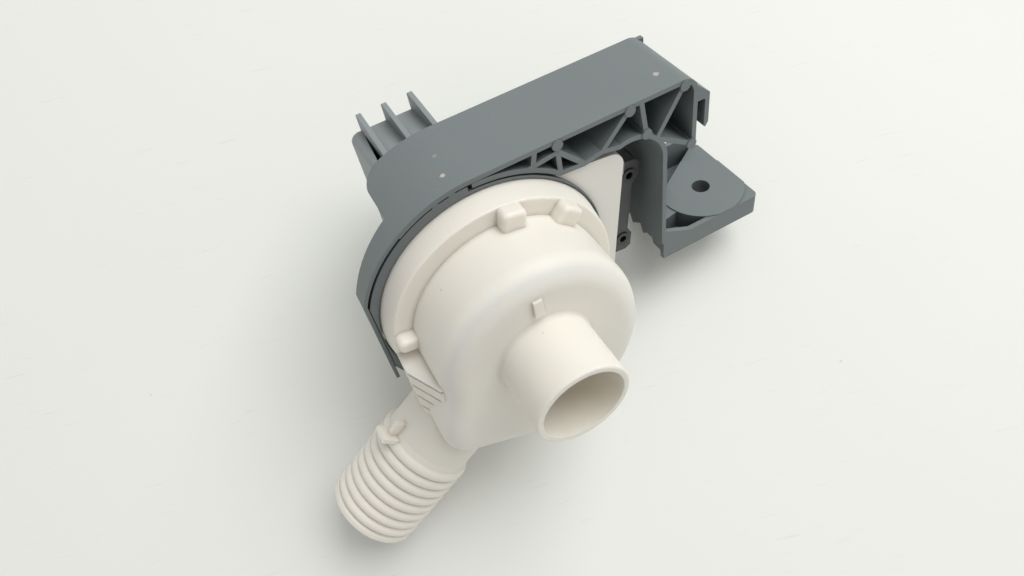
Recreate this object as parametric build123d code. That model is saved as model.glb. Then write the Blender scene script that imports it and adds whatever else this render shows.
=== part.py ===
from build123d import *
import os
from math import atan2, cos, degrees, radians, sin, tan

# Washing machine drain pump, millimetres.
# Everything is drawn in the pump's own axes: z runs along the shaft towards the
# inlet, y points out of the bracket's long wall, x runs along that wall to the foot.
# The last step turns the whole pump so that the long wall faces up, and puts the
# origin in the middle of the inlet's mouth.

# How far joined shapes run into each other, and how near an edge must be to count as found
OVERLAP = 1.0
NEAR = 0.01

# Flange of the volute, the datum of the pump
FLANGE_R = 46.0
FLANGE_DRAFT_R = 44.5
FLANGE_FRONT = 9.2
FLANGE_SEAT = -1.0
FLANGE_EDGE_R = 0.8
FLANGE_GAP = 0.3

# Scroll of the volute: a round stretch that opens towards the outlet
SCROLL_R = 37.5
SCROLL_START_AZ = 40.0
SCROLL_MID_AZ = -35.0
SCROLL_MID_R = 45.6
SCROLL_END_AZ = -110.0
SCROLL_END_R = 52.5
SCROLL_WALL = 3.0
SCROLL_BACK = 0.0
SCROLL_FRONT = 37.5
SCROLL_NOSE_R = 8.5
SCROLL_CORNER_R = 12.0
SIDE_WALL_X = -43.4
SIDE_WALL_TOP_Y = -27.0
SCROLL_JOIN_AZ = 178.0
POCKET_R = 36.0
POCKET_FLOOR = 3.0

# Inlet spigot
INLET_R = 17.5
INLET_BORE_R = 15.2
INLET_MOUTH = 63.1
INLET_LIP_R = 0.7
INLET_ROOT_FILLET = 1.2

# Outlet spigot: azimuth of its axis, its sideways offset and its height over the flange
OUTLET_AZ = -141.4
OUTLET_OFFSET = 10.4
OUTLET_HEIGHT = 14.0
OUTLET_R = 17.5
OUTLET_BORE_R = 14.5
OUTLET_MOUTH_BORE_R = 15.4
OUTLET_MOUTH_BORE_LENGTH = 26.0
OUTLET_ROOT = 30.0
OUTLET_BORE_ROOT = 44.0
BARB_COUNT = 8
BARB_FIRST = 71.8
BARB_PITCH = 4.75
BARB_CREST_R = 19.4
BARB_VALLEY_R = 18.0
OUTLET_BAND_R = 19.1
OUTLET_BAND = 3.375
OUTLET_END = BARB_FIRST + (BARB_COUNT - 0.5) * BARB_PITCH + OUTLET_BAND
OUTLET_EDGE_R = 0.8
STOP_LUG_TIP_R = 25.0
STOP_LUG_TOP_R = 21.6
STOP_LUG_START = 62.5
STOP_LUG_WIDTH = 7.5
STOP_LUG_WALL = 2.0

# Twist-lock lugs on the flange
LUG_AZ = (80.0, 48.0, 170.0)
LUG_WIDTHS = (9.0, 9.0, 5.5)
LUG_HEIGHT = 5.4
LUG_INNER_R = 34.0
LUG_OUTER_R = 44.3
LUG_CORNER_R = 2.2
LUG_EDGE_R = 1.6

# Finger grip beside the outlet
GRIP_X = -45.0
GRIP_INNER_X = -36.0
GRIP_SHOULDER = 18.0
GRIP_TIP_X = -38.0
GRIP_TIP = 32.0
GRIP_LOW_Y = -33.0
GRIP_FIRST = 1.2
GRIP_PITCH = 7.0
GRIP_GROOVES = 5
GRIP_GROOVE_WIDTH = 1.5
GRIP_GROOVE_DEPTH = 1.1

# Small bar moulded on the nose of the scroll
BAR_WIDTH = 3.2
BAR_X = 0.1
BAR_LOW_Y = 20.7
BAR_HIGH_Y = 28.2
BAR_HEIGHT = 1.2

# End plate with the can of the rotor
PLATE_FRONT = -1.0
PLATE_BACK = -5.5
PLATE_INSET = 0.1
PLATE_R = FLANGE_R - PLATE_INSET
PANEL_FRONT = -1.5
PANEL_RIGHT = 55.0
PANEL_HALF = 39.5
PANEL_CORNER_R = 6.0
CAN_INNER_R = 14.0
CAN_WALL = 1.5
CAN_STEP = -46.0
CAN_POCKET_R = 8.0
CAN_POCKET_END = -53.5
SEAL_R = 40.0
SEAL_CORD_R = 1.15
SEAL_GROOVE_WIDTH = 3.0
SEAL_GROOVE_DEPTH = 2.4
MOTOR_TURN = -7.0

# Shaft, bearings and rotor
SHAFT_R = 2.0
SHAFT_FRONT = 22.0
SHAFT_BACK = -51.0
SHAFT_CHAMFER = 0.4
BUSH_R = 5.0
BUSH_PLAY = 0.03
BUSH_CHAMFER = 0.3
FRONT_BUSH_BACK = -9.0
FRONT_HOLDER_FRONT = -1.5
FRONT_HOLDER_BACK = -8.5
REAR_BUSH_BACK = -52.5
REAR_BUSH_FRONT = -44.9
REAR_HOLDER_FRONT = -46.3
WASHER_R = 4.5
WASHER_THICKNESS = 0.6
WASHER_PLAY = 0.25
MAGNET_R = 13.2
CLIP_R = 4.2
CLIP_THICKNESS = 0.8
CLIP_PLAY = 0.3
CLIP_GROOVE_R = 1.6
CLIP_GAP = 2.4

# Impeller and its lost-motion drive
IMPELLER_R = 26.0
IMPELLER_BACK = 1.2
IMPELLER_DISC = 2.0
CUP_R = 12.5
CUP_INNER_R = 10.5
CUP_ROOF = 13.0
CUP_ROOF_THICKNESS = 2.0
HUB_R = 4.6
HUB_FRONT = 19.0
HUB_PLAY = 0.06
VANE_COUNT = 6
VANE_THICKNESS = 1.8
VANE_TIP_HEIGHT = 11.5
VANE_ROOT_HEIGHT = 15.5
VANE_EDGE_R = 0.6
DOG_HUB_R = 5.0
DOG_REACH = 9.9
DOG_SECTOR = 50.0
DOG_CLEARANCE = 0.4
CATCH_SECTOR = 30.0
CATCH_INNER_R = 7.2
BUFFER_SECTOR = 50.0
BUFFER_INNER_R = 6.0

# Stator: a U core with two legs, a coil on each, in axes turned by MOTOR_TURN
CORE_FRONT = -12.0
CORE_BACK = -42.0
CORE_HALF = 24.0
CORE_POLE_END = -16.0
CORE_YOKE_START = 60.5
CORE_YOKE_END = 68.0
CORE_EAR_END = 70.3
CORE_EAR_LOW = 12.0
CORE_EAR_SLOPE = 3.5
LEG_INNER = 10.5
LEG_OUTER = 23.5
LEG_START = 18.0
CORE_BORE_CLEARANCE = 0.4
POLE_GAP = 6.0
RIVET_X = 65.8
RIVET_Y = 17.0
RIVET_R = 2.2
RIVET_BORE_R = 1.6
RIVET_HEAD_R = 3.2
RIVET_HEAD = 0.6
BOBBIN_START = 20.0
BOBBIN_END = 54.5
BOBBIN_WALL = 1.3
BOBBIN_CLEARANCE = 0.2
BOBBIN_FLANGE = 1.5
BOBBIN_BUILD = 4.5
WINDING_BUILD = 4.2
WINDING_CORNER_R = 2.5
CUTOUT_LENGTH = 14.0
CUTOUT_DEPTH = 5.0
CUTOUT_X = 37.0
CUTOUT_SLACK = 0.1

# Blade terminals and their socket
BLADE_WIDTH = 6.3
BLADE_THICKNESS = 0.8
BLADE_END = -60.5
BLADE_HALF_SPACING = 5.0
BLADE_CLEARANCE = 0.3
SOCKET_X = 42.0
SOCKET_Y = -17.0
SOCKET_WIDTH = 24.0
SOCKET_HEIGHT = 16.0
SOCKET_END = -63.5
BLADE_CHAMFER = 0.25
BLOCK_LENGTH = 20.0
BLOCK_HALF = 5.0
BLOCK_SLACK = 0.15

# Rear shroud: a finned box behind the rotor and a lower box over the coils
SHROUD_WALL = 1.8
FIN_BOX_LEFT = -22.0
FIN_BOX_RIGHT = 14.0
FIN_BOX_LOW = -34.0
FIN_BOX_HIGH = 38.0
FIN_BOX_BACK = -77.0
FIN_BOX_BACK_HIGH = 32.3
FIN_BOX_BEND = -46.0
FIN_BOX_CORNER_R = 4.0
SLOT_BACK = -72.0
SLOT_FRONT = -46.0
SLOT_WIDTH = 2.4
SLOT_LOW_Y = 26.0
FIN_STEP_Y = 20.0
FIN_STEP_BACK = -57.3
FIN_X = (-15.8, -4.8, 6.6)
FIN_THICKNESS = 2.0
FIN_TOP = 41.0
FIN_FRONT = -40.0
FIN_TIP_R = 2.0
COIL_BOX_LEFT = 6.0
COIL_BOX_RIGHT = 58.5
COIL_BOX_HALF = 33.0
COIL_BOX_BACK = -50.5
COIL_BOX_CORNER_R = 4.0
LEG_CLEARANCE = 0.4

# Screws that hold the shroud to the end plate
EAR_R = 4.0
EAR_BACK = -11.0
EAR_SIDE_Y = 22.0
EAR_LOW_X = 44.0
EAR_OVERLAP = 0.5
SCREW_R = 1.45
SCREW_HEAD_R = 3.1
SCREW_HEAD = 2.2
SCREW_TIP = -2.6
SCREW_PILOT_END = -2.3
SCREW_HOLE_R = 1.7
SCREW_PILOT_R = 1.5
SCREW_SLOT_R = 1.3
SCREW_SLOT_DEPTH = 1.2

# Seat ring between the flange and the bracket
RING_INNER_R = FLANGE_R + FLANGE_GAP
RING_THIN = 0.9
RING_WIDE = 3.5
RING_THIN_R = RING_INNER_R + RING_THIN
RING_WIDE_R = RING_INNER_R + RING_WIDE
RING_DRIFT = 0.6
RING_DRIFT_AZ = 135.0
RING_FRONT = 0.0
RING_DEEP_BACK = -3.0
RING_WIDE_START_AZ = 92.0
RING_WIDE_END_AZ = 215.0
RING_TAB_AZ = (98.5, 106.0)
RING_TAB_WIDTH = 2.4
RING_TAIL_GAP = 0.3

# Bracket
BRACKET_FRONT = 0.0
BRACKET_DEPTH = 34.5
BRACKET_WALL = 1.9
BELT_SLOT = 0.5
BELT_R = RING_WIDE_R + BELT_SLOT + BRACKET_WALL
BELT_END_AZ = 124.0
BELT_END_R = 9.0
COLLAR_DEPTH = 10.5
COLLAR_MIDDLE_Y = 20.0
COLLAR_MIDDLE_DEPTH = 7.8
TAIL_DEPTH = 7.0
TAIL_INSET = 3.8
TAIL_X = TAIL_INSET - BELT_R
TAIL_WALL = 1.4
TAIL_LOW_Y = -24.0
LONG_WALL_END_X = 90.0
LONG_WALL_CORNER_R = 7.0
END_WALL_LOW_Y = 20.0
INNER_BELT_STEP = 2.0
INNER_BELT_R = BELT_R - INNER_BELT_STEP
INNER_BELT_END_AZ = 49.0
RIB = 1.9
BOSS_R = 2.1
BOSS_PROUD = 0.4
ARCH_X = 61.3
ARCH_Y = 22.2
ARCH_R = 14.85
ARCH_START_AZ = 108
ARM_LOW_Y = -30.0
WEB = 2.0
TOOTH_PITCH = 8.0
TOOTH_HEIGHT = 3.9
TOOTH_LEAN = 1.8
TOOTH_TIP = 0.4
SHELF_THICKNESS = 1.6
SHELF_START_AZ = 92.0
SHELF_END_AZ = 208.0
LIP_LEFT = 34.0
LIP_RIGHT = 57.0
LIP_LOW_Y = 32.2
LIP_THICKNESS = 3.0

# Truss: nodes under the long wall, on the arch and on the lower edge
WALL_NODE_X = (32.2, 61.2, 84.1)
KNOT_DROP = 3.6
KNOT_RIB_AZ = 66.0
SHORT_RIB_AZ = 63.5
SHORT_RIB_X = 23.5
STRUT_X = 66.1
CHORD_LOW = (42.0, 36.4)
CHORD_HIGH = (49.3, 37.8)
ARCH_TOP_AZ = 63
ARCH_SIDE_AZ = 42
ARCH_STEP = 12

# Hook on the bracket's end wall
HOOK_TOP_Y = 47.0
HOOK_SHOULDER_Y = 42.0
HOOK_GAP = 3.4
HOOK_WALL = 1.9
HOOK_TIP_Y = 27.0
HOOK_DEPTH = 12.0

# Foot with its screw hole
FOOT_TOP_Y = -25.7
FOOT_END_X = 126.0
FOOT_PLATE = 2.6
FOOT_SKIRT = 9.8
FOOT_WALL = 2.2
FOOT_ARM_BACK = -14.2
FOOT_END_BACK = -46.3
FOOT_CORNER_R = 2.5
FOOT_PAD_R = 19.0
FOOT_PAD = 0.5
FOOT_HOLE_X = 109.3
FOOT_HOLE_Z = -18.6
FOOT_HOLE_R = 4.0
FOOT_SLEEVE_R = 8.0
FOOT_POCKET_BACK = -15.0
FOOT_TUB_LEFT = 79.2
FOOT_TUB_WALL = 1.2
TRAY_LEFT = 88.0
TRAY_RIGHT = 116.0
TRAY_TOP_Y = -19.0
GUSSET_HIGH_Y = -19.0
GUSSET_END_X = 90.0


def polar(radius, azimuth):
    """A point of the pump's cross-section at a radius and an azimuth in degrees."""
    return Vector(radius * cos(radians(azimuth)), radius * sin(radians(azimuth)))


def disc(radius, back, front):
    """A round solid on the shaft line between two heights."""
    return Pos(0, 0, back) * Cylinder(radius, front - back, align=(Align.CENTER, Align.CENTER, Align.MIN))


def tube(outer, inner, back, front):
    """A round wall on the shaft line."""
    return disc(outer, back, front) - disc(inner, back, front)


def rod(x, y, radius, back, front):
    """A round solid beside the shaft line."""
    return Pos(x, y, 0) * disc(radius, back, front)


def block(left, right, low, high, back, front):
    """A rectangular solid from its six limits."""
    size = (right - left, high - low, front - back)
    middle = ((left + right) / 2, (low + high) / 2, (back + front) / 2)
    return Pos(*middle) * Box(*size)


def prism(face, back, front):
    """A flat section drawn out along the shaft line."""
    return extrude(Pos(0, 0, back) * face, front - back)


def sector(outer, inner, start, end, back, front):
    """A slice of a round wall between two azimuths."""
    with BuildLine() as outline:
        Line(polar(inner, start), polar(outer, start))
        CenterArc((0, 0), outer, start, end - start)
        Line(polar(outer, end), polar(inner, end))
        CenterArc((0, 0), inner, end, start - end)
    return prism(make_face(outline.line), back, front)


def bar(start, end, thickness, back, front):
    """A rib with round ends between two points of the cross-section."""
    run = end - start
    middle = (start + end) / 2
    turn = degrees(atan2(run.Y, run.X))
    face = Rot(0, 0, turn) * SlotCenterToCenter(run.length, thickness)
    return prism(Pos(middle.X, middle.Y) * face, back, front)


def motor(shape):
    """Turns what is drawn in the motor's axes into the pump's axes."""
    return Rot(0, 0, MOTOR_TURN) * shape


def scroll_outline():
    """The outer line of the scroll, from the round stretch to the corner by the outlet."""
    join = polar(SCROLL_R, SCROLL_JOIN_AZ)
    start = polar(SCROLL_R, SCROLL_START_AZ)
    with BuildLine() as outline:
        CenterArc((0, 0), SCROLL_R, SCROLL_JOIN_AZ, SCROLL_START_AZ - SCROLL_JOIN_AZ)
        start_way = Vector(sin(radians(SCROLL_START_AZ)), -cos(radians(SCROLL_START_AZ)))
        growing = TangentArc(start, polar(SCROLL_MID_R, SCROLL_MID_AZ), tangent=start_way)
        closing = TangentArc(growing @ 1, polar(SCROLL_END_R, SCROLL_END_AZ), tangent=growing % 1)
        way = closing % 1
        end = closing @ 1
        reach = (SIDE_WALL_X - end.X) / way.X
        corner = end + way * reach
        turn = degrees(atan2(1, 0) - atan2(way.Y, way.X)) % 360
        bend = min(turn, 360 - turn)
        setback = SCROLL_CORNER_R * tan(radians(bend / 2))
        floor_end = corner - way * setback
        Line(end, floor_end)
        side_start = Vector(SIDE_WALL_X, corner.Y + setback)
        TangentArc(floor_end, side_start, tangent=way)
        side_end = Vector(SIDE_WALL_X, SIDE_WALL_TOP_Y)
        Line(side_start, side_end)
        halfway = (side_end + join) / 2
        easing = TangentArc(side_end, halfway, tangent=(0, 1))
        TangentArc(halfway, join, tangent=easing % 1)
    return make_face(outline.line)


def outlet_place():
    """Stands the outlet's own axis, drawn along z, on the pump."""
    side = polar(OUTLET_OFFSET, OUTLET_AZ + 90)
    return Pos(side.X, side.Y, OUTLET_HEIGHT) * Rot(0, 0, OUTLET_AZ) * Rot(0, 90, 0)


def outlet_skin():
    """The outlet spigot: a plain neck, round barbs and a plain end band, turned as one."""
    half = BARB_PITCH / 2
    with BuildLine() as profile:
        Polyline((0, OUTLET_ROOT), (OUTLET_R, OUTLET_ROOT), (OUTLET_R, BARB_FIRST - 2 * half))
        Line((OUTLET_R, BARB_FIRST - 2 * half), (BARB_VALLEY_R, BARB_FIRST - half))
        for count in range(BARB_COUNT):
            middle = BARB_FIRST + count * BARB_PITCH
            low = (BARB_VALLEY_R, middle - half)
            crest = (BARB_CREST_R, middle)
            high = (BARB_VALLEY_R, middle + half)
            ThreePointArc(low, crest, high)
        last = OUTLET_END - OUTLET_BAND
        Polyline((BARB_VALLEY_R, last), (OUTLET_BAND_R, last + OUTLET_EDGE_R), (OUTLET_BAND_R, OUTLET_END),
                 (0, OUTLET_END), (0, OUTLET_ROOT))
    turned = revolve(Plane.XZ * make_face(profile.line), Axis.Z)
    rim = turned.edges().filter_by(GeomType.CIRCLE).sort_by(Axis.Z)[-1]
    return fillet(rim, OUTLET_EDGE_R)


def stop_lug():
    """The T-shaped stop that a hose is pushed against, on the far side of the outlet."""
    rib_end = BARB_FIRST - BARB_PITCH / 4
    upright = block(-STOP_LUG_TIP_R, -OUTLET_R + OVERLAP, -STOP_LUG_WIDTH / 2, STOP_LUG_WIDTH / 2,
                    rib_end - STOP_LUG_WALL, rib_end)
    rail = block(-STOP_LUG_TOP_R, -OUTLET_R + OVERLAP, -STOP_LUG_WALL / 2, STOP_LUG_WALL / 2,
                 STOP_LUG_START, rib_end)
    return Rot(0, 0, 90) * (upright + rail)


def twist_lug(azimuth, width):
    """One lug that turns under the bracket's keepers, with a rounded outer end."""
    lug = block(LUG_INNER_R, LUG_OUTER_R, -width / 2, width / 2,
                FLANGE_FRONT - OVERLAP, FLANGE_FRONT + LUG_HEIGHT)
    upright = lug.edges().filter_by(Axis.Z).sort_by(Axis.X)[-2:]
    lug = fillet(upright, LUG_CORNER_R)
    return Rot(0, 0, azimuth) * fillet(lug.faces().sort_by(Axis.Z)[-1].edges(), LUG_EDGE_R)


def finger_grip():
    """A wedge with level grooves that a finger turns the volute by."""
    with BuildLine() as outline:
        Polyline((GRIP_INNER_X, PLATE_FRONT), (GRIP_X, PLATE_FRONT), (GRIP_X, GRIP_SHOULDER),
                 (GRIP_TIP_X, GRIP_TIP), (GRIP_INNER_X, GRIP_TIP), close=True)
    wedge = slab(make_face(outline.line), 0, GRIP_LOW_Y)
    core = Pos(GRIP_GROOVE_DEPTH, 0, -GRIP_GROOVE_DEPTH) * wedge
    for count in range(GRIP_GROOVES):
        level = -GRIP_FIRST - GRIP_PITCH * count
        slice_box = block(GRIP_X, GRIP_INNER_X, level - GRIP_GROOVE_WIDTH / 2,
                          level + GRIP_GROOVE_WIDTH / 2, FLANGE_FRONT, GRIP_TIP)
        wedge -= (slice_box - core)
    return wedge & block(GRIP_X, GRIP_INNER_X, GRIP_LOW_Y, 0, FLANGE_FRONT - OVERLAP, GRIP_TIP)


def volute_housing():
    """Scroll, flange, lugs, grip and both spigots, moulded in one."""
    outline = scroll_outline()
    body = prism(outline, SCROLL_BACK, SCROLL_FRONT)
    nose = body.faces().sort_by(Axis.Z)[-1]
    body = fillet(nose.edges(), SCROLL_NOSE_R)
    flange = Pos(0, 0, FLANGE_SEAT) * Cone(FLANGE_R, FLANGE_DRAFT_R, FLANGE_FRONT - FLANGE_SEAT,
                                           align=(Align.CENTER, Align.CENTER, Align.MIN))
    flange = fillet(flange.edges().sort_by(Axis.Z)[-1], FLANGE_EDGE_R)
    inlet = disc(INLET_R, SCROLL_FRONT - SCROLL_WALL, INLET_MOUTH)
    body += fillet(inlet.edges().filter_by(GeomType.CIRCLE).sort_by(Axis.Z)[-1], INLET_LIP_R)
    rings = body.edges().filter_by(GeomType.CIRCLE)
    seam = rings.filter_by_position(Axis.Z, SCROLL_FRONT - NEAR, SCROLL_FRONT + NEAR)
    body = fillet(seam, INLET_ROOT_FILLET)
    body += flange
    neck = outlet_place() * (outlet_skin() + stop_lug())
    under_flange = disc(RING_WIDE_R + OVERLAP, -OUTLET_R, SCROLL_BACK)
    body += neck - under_flange
    for azimuth, width in zip(LUG_AZ, LUG_WIDTHS):
        body += twist_lug(azimuth, width)
    body += finger_grip()
    body += block(BAR_X - BAR_WIDTH / 2, BAR_X + BAR_WIDTH / 2, BAR_LOW_Y, BAR_HIGH_Y,
                  SCROLL_FRONT - SCROLL_WALL, SCROLL_FRONT + BAR_HEIGHT)
    inside = offset(outline, -SCROLL_WALL)
    body -= prism(inside, POCKET_FLOOR, SCROLL_FRONT - SCROLL_WALL)
    body -= disc(POCKET_R, FLANGE_SEAT, POCKET_FLOOR)
    body -= disc(INLET_BORE_R, SCROLL_FRONT - 2 * SCROLL_WALL, INLET_MOUTH)
    body -= outlet_place() * disc(OUTLET_BORE_R, OUTLET_BORE_ROOT, OUTLET_END)
    mouth_start = OUTLET_END - OUTLET_MOUTH_BORE_LENGTH
    return body - outlet_place() * disc(OUTLET_MOUTH_BORE_R, mouth_start, OUTLET_END)


def end_plate():
    """The plate that closes the volute, with the can that the rotor turns in."""
    panel_face = Rectangle(2 * PANEL_RIGHT, 2 * PANEL_HALF)
    panel_face = fillet(panel_face.vertices(), PANEL_CORNER_R)
    panel = prism(panel_face, PLATE_BACK, PANEL_FRONT) & block(0, PANEL_RIGHT, -PANEL_HALF, PANEL_HALF,
                                                              PLATE_BACK, PANEL_FRONT)
    plate = disc(PLATE_R, PLATE_BACK, PLATE_FRONT) + motor(panel)
    plate += disc(CAN_INNER_R + CAN_WALL, CAN_STEP - CAN_WALL, PLATE_BACK)
    plate += disc(CAN_POCKET_R + CAN_WALL, CAN_POCKET_END - CAN_WALL, CAN_STEP)
    plate -= disc(CAN_INNER_R, CAN_STEP, PLATE_FRONT)
    plate -= disc(CAN_POCKET_R, CAN_POCKET_END, CAN_STEP)
    groove_half = SEAL_GROOVE_WIDTH / 2
    plate -= tube(SEAL_R + groove_half, SEAL_R - groove_half, PLATE_FRONT - SEAL_GROOVE_DEPTH, PLATE_FRONT)
    for place in ear_places():
        plate -= rod(place.X, place.Y, SCREW_PILOT_R, PLATE_BACK, SCREW_PILOT_END)
    return plate


def volute_seal():
    """The O-ring in the end plate's groove."""
    return Pos(0, 0, PLATE_FRONT - SEAL_GROOVE_DEPTH + SEAL_CORD_R) * Torus(SEAL_R, SEAL_CORD_R)


def shaft():
    """Ground shaft with a groove for the clip in front of the impeller."""
    groove_back = HUB_FRONT + CLIP_PLAY
    body = disc(SHAFT_R, SHAFT_BACK, SHAFT_FRONT)
    body = chamfer(body.edges().filter_by(GeomType.CIRCLE), SHAFT_CHAMFER)
    return body - tube(SHAFT_R + OVERLAP, CLIP_GROOVE_R, groove_back, groove_back + CLIP_THICKNESS)


def retaining_clip():
    """Open spring clip in the shaft's groove."""
    back = HUB_FRONT + CLIP_PLAY
    ring = tube(CLIP_R, CLIP_GROOVE_R, back, back + CLIP_THICKNESS)
    return ring - block(0, CLIP_R, -CLIP_GAP / 2, CLIP_GAP / 2, back, back + CLIP_THICKNESS)


def front_thrust_washer():
    front = FRONT_BUSH_BACK - WASHER_PLAY
    return tube(WASHER_R, SHAFT_R, front - WASHER_THICKNESS, front)


def rear_thrust_washer():
    back = REAR_BUSH_FRONT + WASHER_PLAY
    return tube(WASHER_R, SHAFT_R, back, back + WASHER_THICKNESS)


def rotor_magnet():
    """Two-pole magnet between the thrust washers."""
    front = FRONT_BUSH_BACK - WASHER_PLAY - WASHER_THICKNESS
    back = REAR_BUSH_FRONT + WASHER_PLAY + WASHER_THICKNESS
    magnet = disc(MAGNET_R, back, front)
    magnet = chamfer(magnet.edges().filter_by(GeomType.CIRCLE), WASHER_THICKNESS)
    return magnet - disc(SHAFT_R, back, front)


def bush(back, front):
    """A plain bearing with a running fit on the shaft."""
    sleeve = disc(BUSH_R, back, front)
    sleeve = chamfer(sleeve.edges().filter_by(GeomType.CIRCLE), BUSH_CHAMFER)
    return sleeve - disc(SHAFT_R + BUSH_PLAY, back, front)


def front_bush():
    return bush(FRONT_BUSH_BACK, FRONT_HOLDER_FRONT + BUSH_CHAMFER)


def rear_bush():
    return bush(REAR_BUSH_BACK, REAR_BUSH_FRONT)


def front_bush_holder():
    """Rubber plug that closes the can's mouth round the front bush."""
    return tube(CAN_INNER_R, BUSH_R, FRONT_HOLDER_BACK, FRONT_HOLDER_FRONT)


def rear_bush_holder():
    """Rubber ring round the rear bush in the can's pocket."""
    cup = disc(CAN_POCKET_R, CAN_POCKET_END, REAR_HOLDER_FRONT)
    return cup - disc(BUSH_R, REAR_BUSH_BACK, REAR_HOLDER_FRONT)


def impeller():
    """Back disc, hub cup and straight vanes, so that it pumps whichever way the rotor starts."""
    disc_front = IMPELLER_BACK + IMPELLER_DISC
    cup_front = CUP_ROOF + CUP_ROOF_THICKNESS
    wheel = disc(IMPELLER_R, IMPELLER_BACK, disc_front)
    wheel += disc(CUP_R, IMPELLER_BACK, cup_front)
    wheel += disc(HUB_R, cup_front, HUB_FRONT)
    with BuildLine() as outline:
        Polyline((CUP_R - OVERLAP, IMPELLER_BACK), (IMPELLER_R, IMPELLER_BACK),
                 (IMPELLER_R, disc_front + VANE_TIP_HEIGHT),
                 (CUP_R - OVERLAP, IMPELLER_BACK + VANE_ROOT_HEIGHT), close=True)
    vane_face = Plane.XZ * make_face(outline.line)
    vane = extrude(vane_face, VANE_THICKNESS / 2, both=True)
    top_edges = vane.edges().sort_by(Axis.Z)[-3:]
    vane = fillet(top_edges, VANE_EDGE_R)
    for count in range(VANE_COUNT):
        wheel += Rot(0, 0, 360 * count / VANE_COUNT) * vane
    wheel -= disc(CUP_INNER_R, IMPELLER_BACK, CUP_ROOF)
    catch = sector(CUP_INNER_R + OVERLAP, CATCH_INNER_R, -CATCH_SECTOR / 2, CATCH_SECTOR / 2,
                   disc_front, CUP_ROOF)
    return wheel + catch - disc(SHAFT_R + HUB_PLAY, IMPELLER_BACK, HUB_FRONT)


def dog_buffer():
    """Soft cap on the impeller's catch, which takes the knock when the dog arrives."""
    back = IMPELLER_BACK + IMPELLER_DISC
    front = CUP_ROOF
    whole = sector(CUP_INNER_R, BUFFER_INNER_R, -BUFFER_SECTOR / 2, BUFFER_SECTOR / 2, back, front)
    catch_half = CATCH_SECTOR / 2
    return whole - sector(CUP_INNER_R + OVERLAP, CATCH_INNER_R, -catch_half, catch_half, back, front)


def drive_dog():
    """Driver on the shaft: it swings freely in the cup until it meets the buffer."""
    back = IMPELLER_BACK + IMPELLER_DISC
    front = CUP_ROOF - DOG_CLEARANCE
    arm = sector(DOG_REACH, SHAFT_R, 180 - DOG_SECTOR / 2, 180 + DOG_SECTOR / 2, back, front)
    return tube(DOG_HUB_R, SHAFT_R, back, front) + arm


def core_ear(side):
    """Widening of the yoke round one rivet."""
    slope_end = CORE_EAR_LOW + CORE_EAR_SLOPE
    with BuildLine() as outline:
        Polyline((CORE_YOKE_START, side * CORE_EAR_LOW), (CORE_YOKE_END, side * CORE_EAR_LOW),
                 (CORE_EAR_END, side * slope_end), (CORE_EAR_END, side * (CORE_HALF - CORE_EAR_SLOPE / 2)),
                 (CORE_YOKE_END, side * CORE_HALF), (CORE_YOKE_START, side * CORE_HALF), close=True)
    return prism(make_face(outline.line), CORE_BACK, CORE_FRONT)


def stator_core():
    """Laminated U core: a yoke with ears, two legs and the poles round the can."""
    core = block(CORE_POLE_END, CORE_YOKE_END, -CORE_HALF, CORE_HALF, CORE_BACK, CORE_FRONT)
    for side in (-1, 1):
        edge = side * LEG_OUTER
        far = side * (CORE_HALF + OVERLAP)
        core -= block(LEG_START, CORE_YOKE_START, min(edge, far), max(edge, far), CORE_BACK, CORE_FRONT)
    core -= block(LEG_START, CORE_YOKE_START, -LEG_INNER, LEG_INNER, CORE_BACK, CORE_FRONT)
    core -= block(CORE_POLE_END, LEG_START, -POLE_GAP / 2, POLE_GAP / 2, CORE_BACK, CORE_FRONT)
    core -= disc(CAN_INNER_R + CAN_WALL + CORE_BORE_CLEARANCE, CORE_BACK, CORE_FRONT)
    for side in (-1, 1):
        core += core_ear(side)
        core -= rod(RIVET_X, side * RIVET_Y, RIVET_R, CORE_BACK, CORE_FRONT)
    return motor(core)


def core_rivets():
    """Two tubular rivets through the yoke."""
    pair = []
    for side in (-1, 1):
        rivet = rod(RIVET_X, side * RIVET_Y, RIVET_R, CORE_BACK - RIVET_HEAD, CORE_FRONT + RIVET_HEAD)
        rivet += rod(RIVET_X, side * RIVET_Y, RIVET_HEAD_R, CORE_FRONT, CORE_FRONT + RIVET_HEAD)
        rivet += rod(RIVET_X, side * RIVET_Y, RIVET_HEAD_R, CORE_BACK - RIVET_HEAD, CORE_BACK)
        rivet -= rod(RIVET_X, side * RIVET_Y, RIVET_BORE_R, CORE_BACK - RIVET_HEAD, CORE_FRONT + RIVET_HEAD)
        pair.append(motor(rivet))
    return Compound(children=pair)


def leg_box(side, grow, left, right):
    """A block round one leg of the core, larger than the leg by the same amount all round."""
    low = min(side * LEG_INNER, side * LEG_OUTER) - grow
    high = max(side * LEG_INNER, side * LEG_OUTER) + grow
    return block(left, right, low, high, CORE_BACK - grow, CORE_FRONT + grow)


def bobbin(side):
    """Coil former that slides over one leg."""
    sleeve = BOBBIN_CLEARANCE + BOBBIN_WALL
    rim = sleeve + BOBBIN_BUILD
    body = leg_box(side, sleeve, BOBBIN_START, BOBBIN_END)
    body += leg_box(side, rim, BOBBIN_START, BOBBIN_START + BOBBIN_FLANGE)
    body += leg_box(side, rim, BOBBIN_END - BOBBIN_FLANGE, BOBBIN_END)
    return body - leg_box(side, BOBBIN_CLEARANCE, BOBBIN_START, BOBBIN_END)


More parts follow.
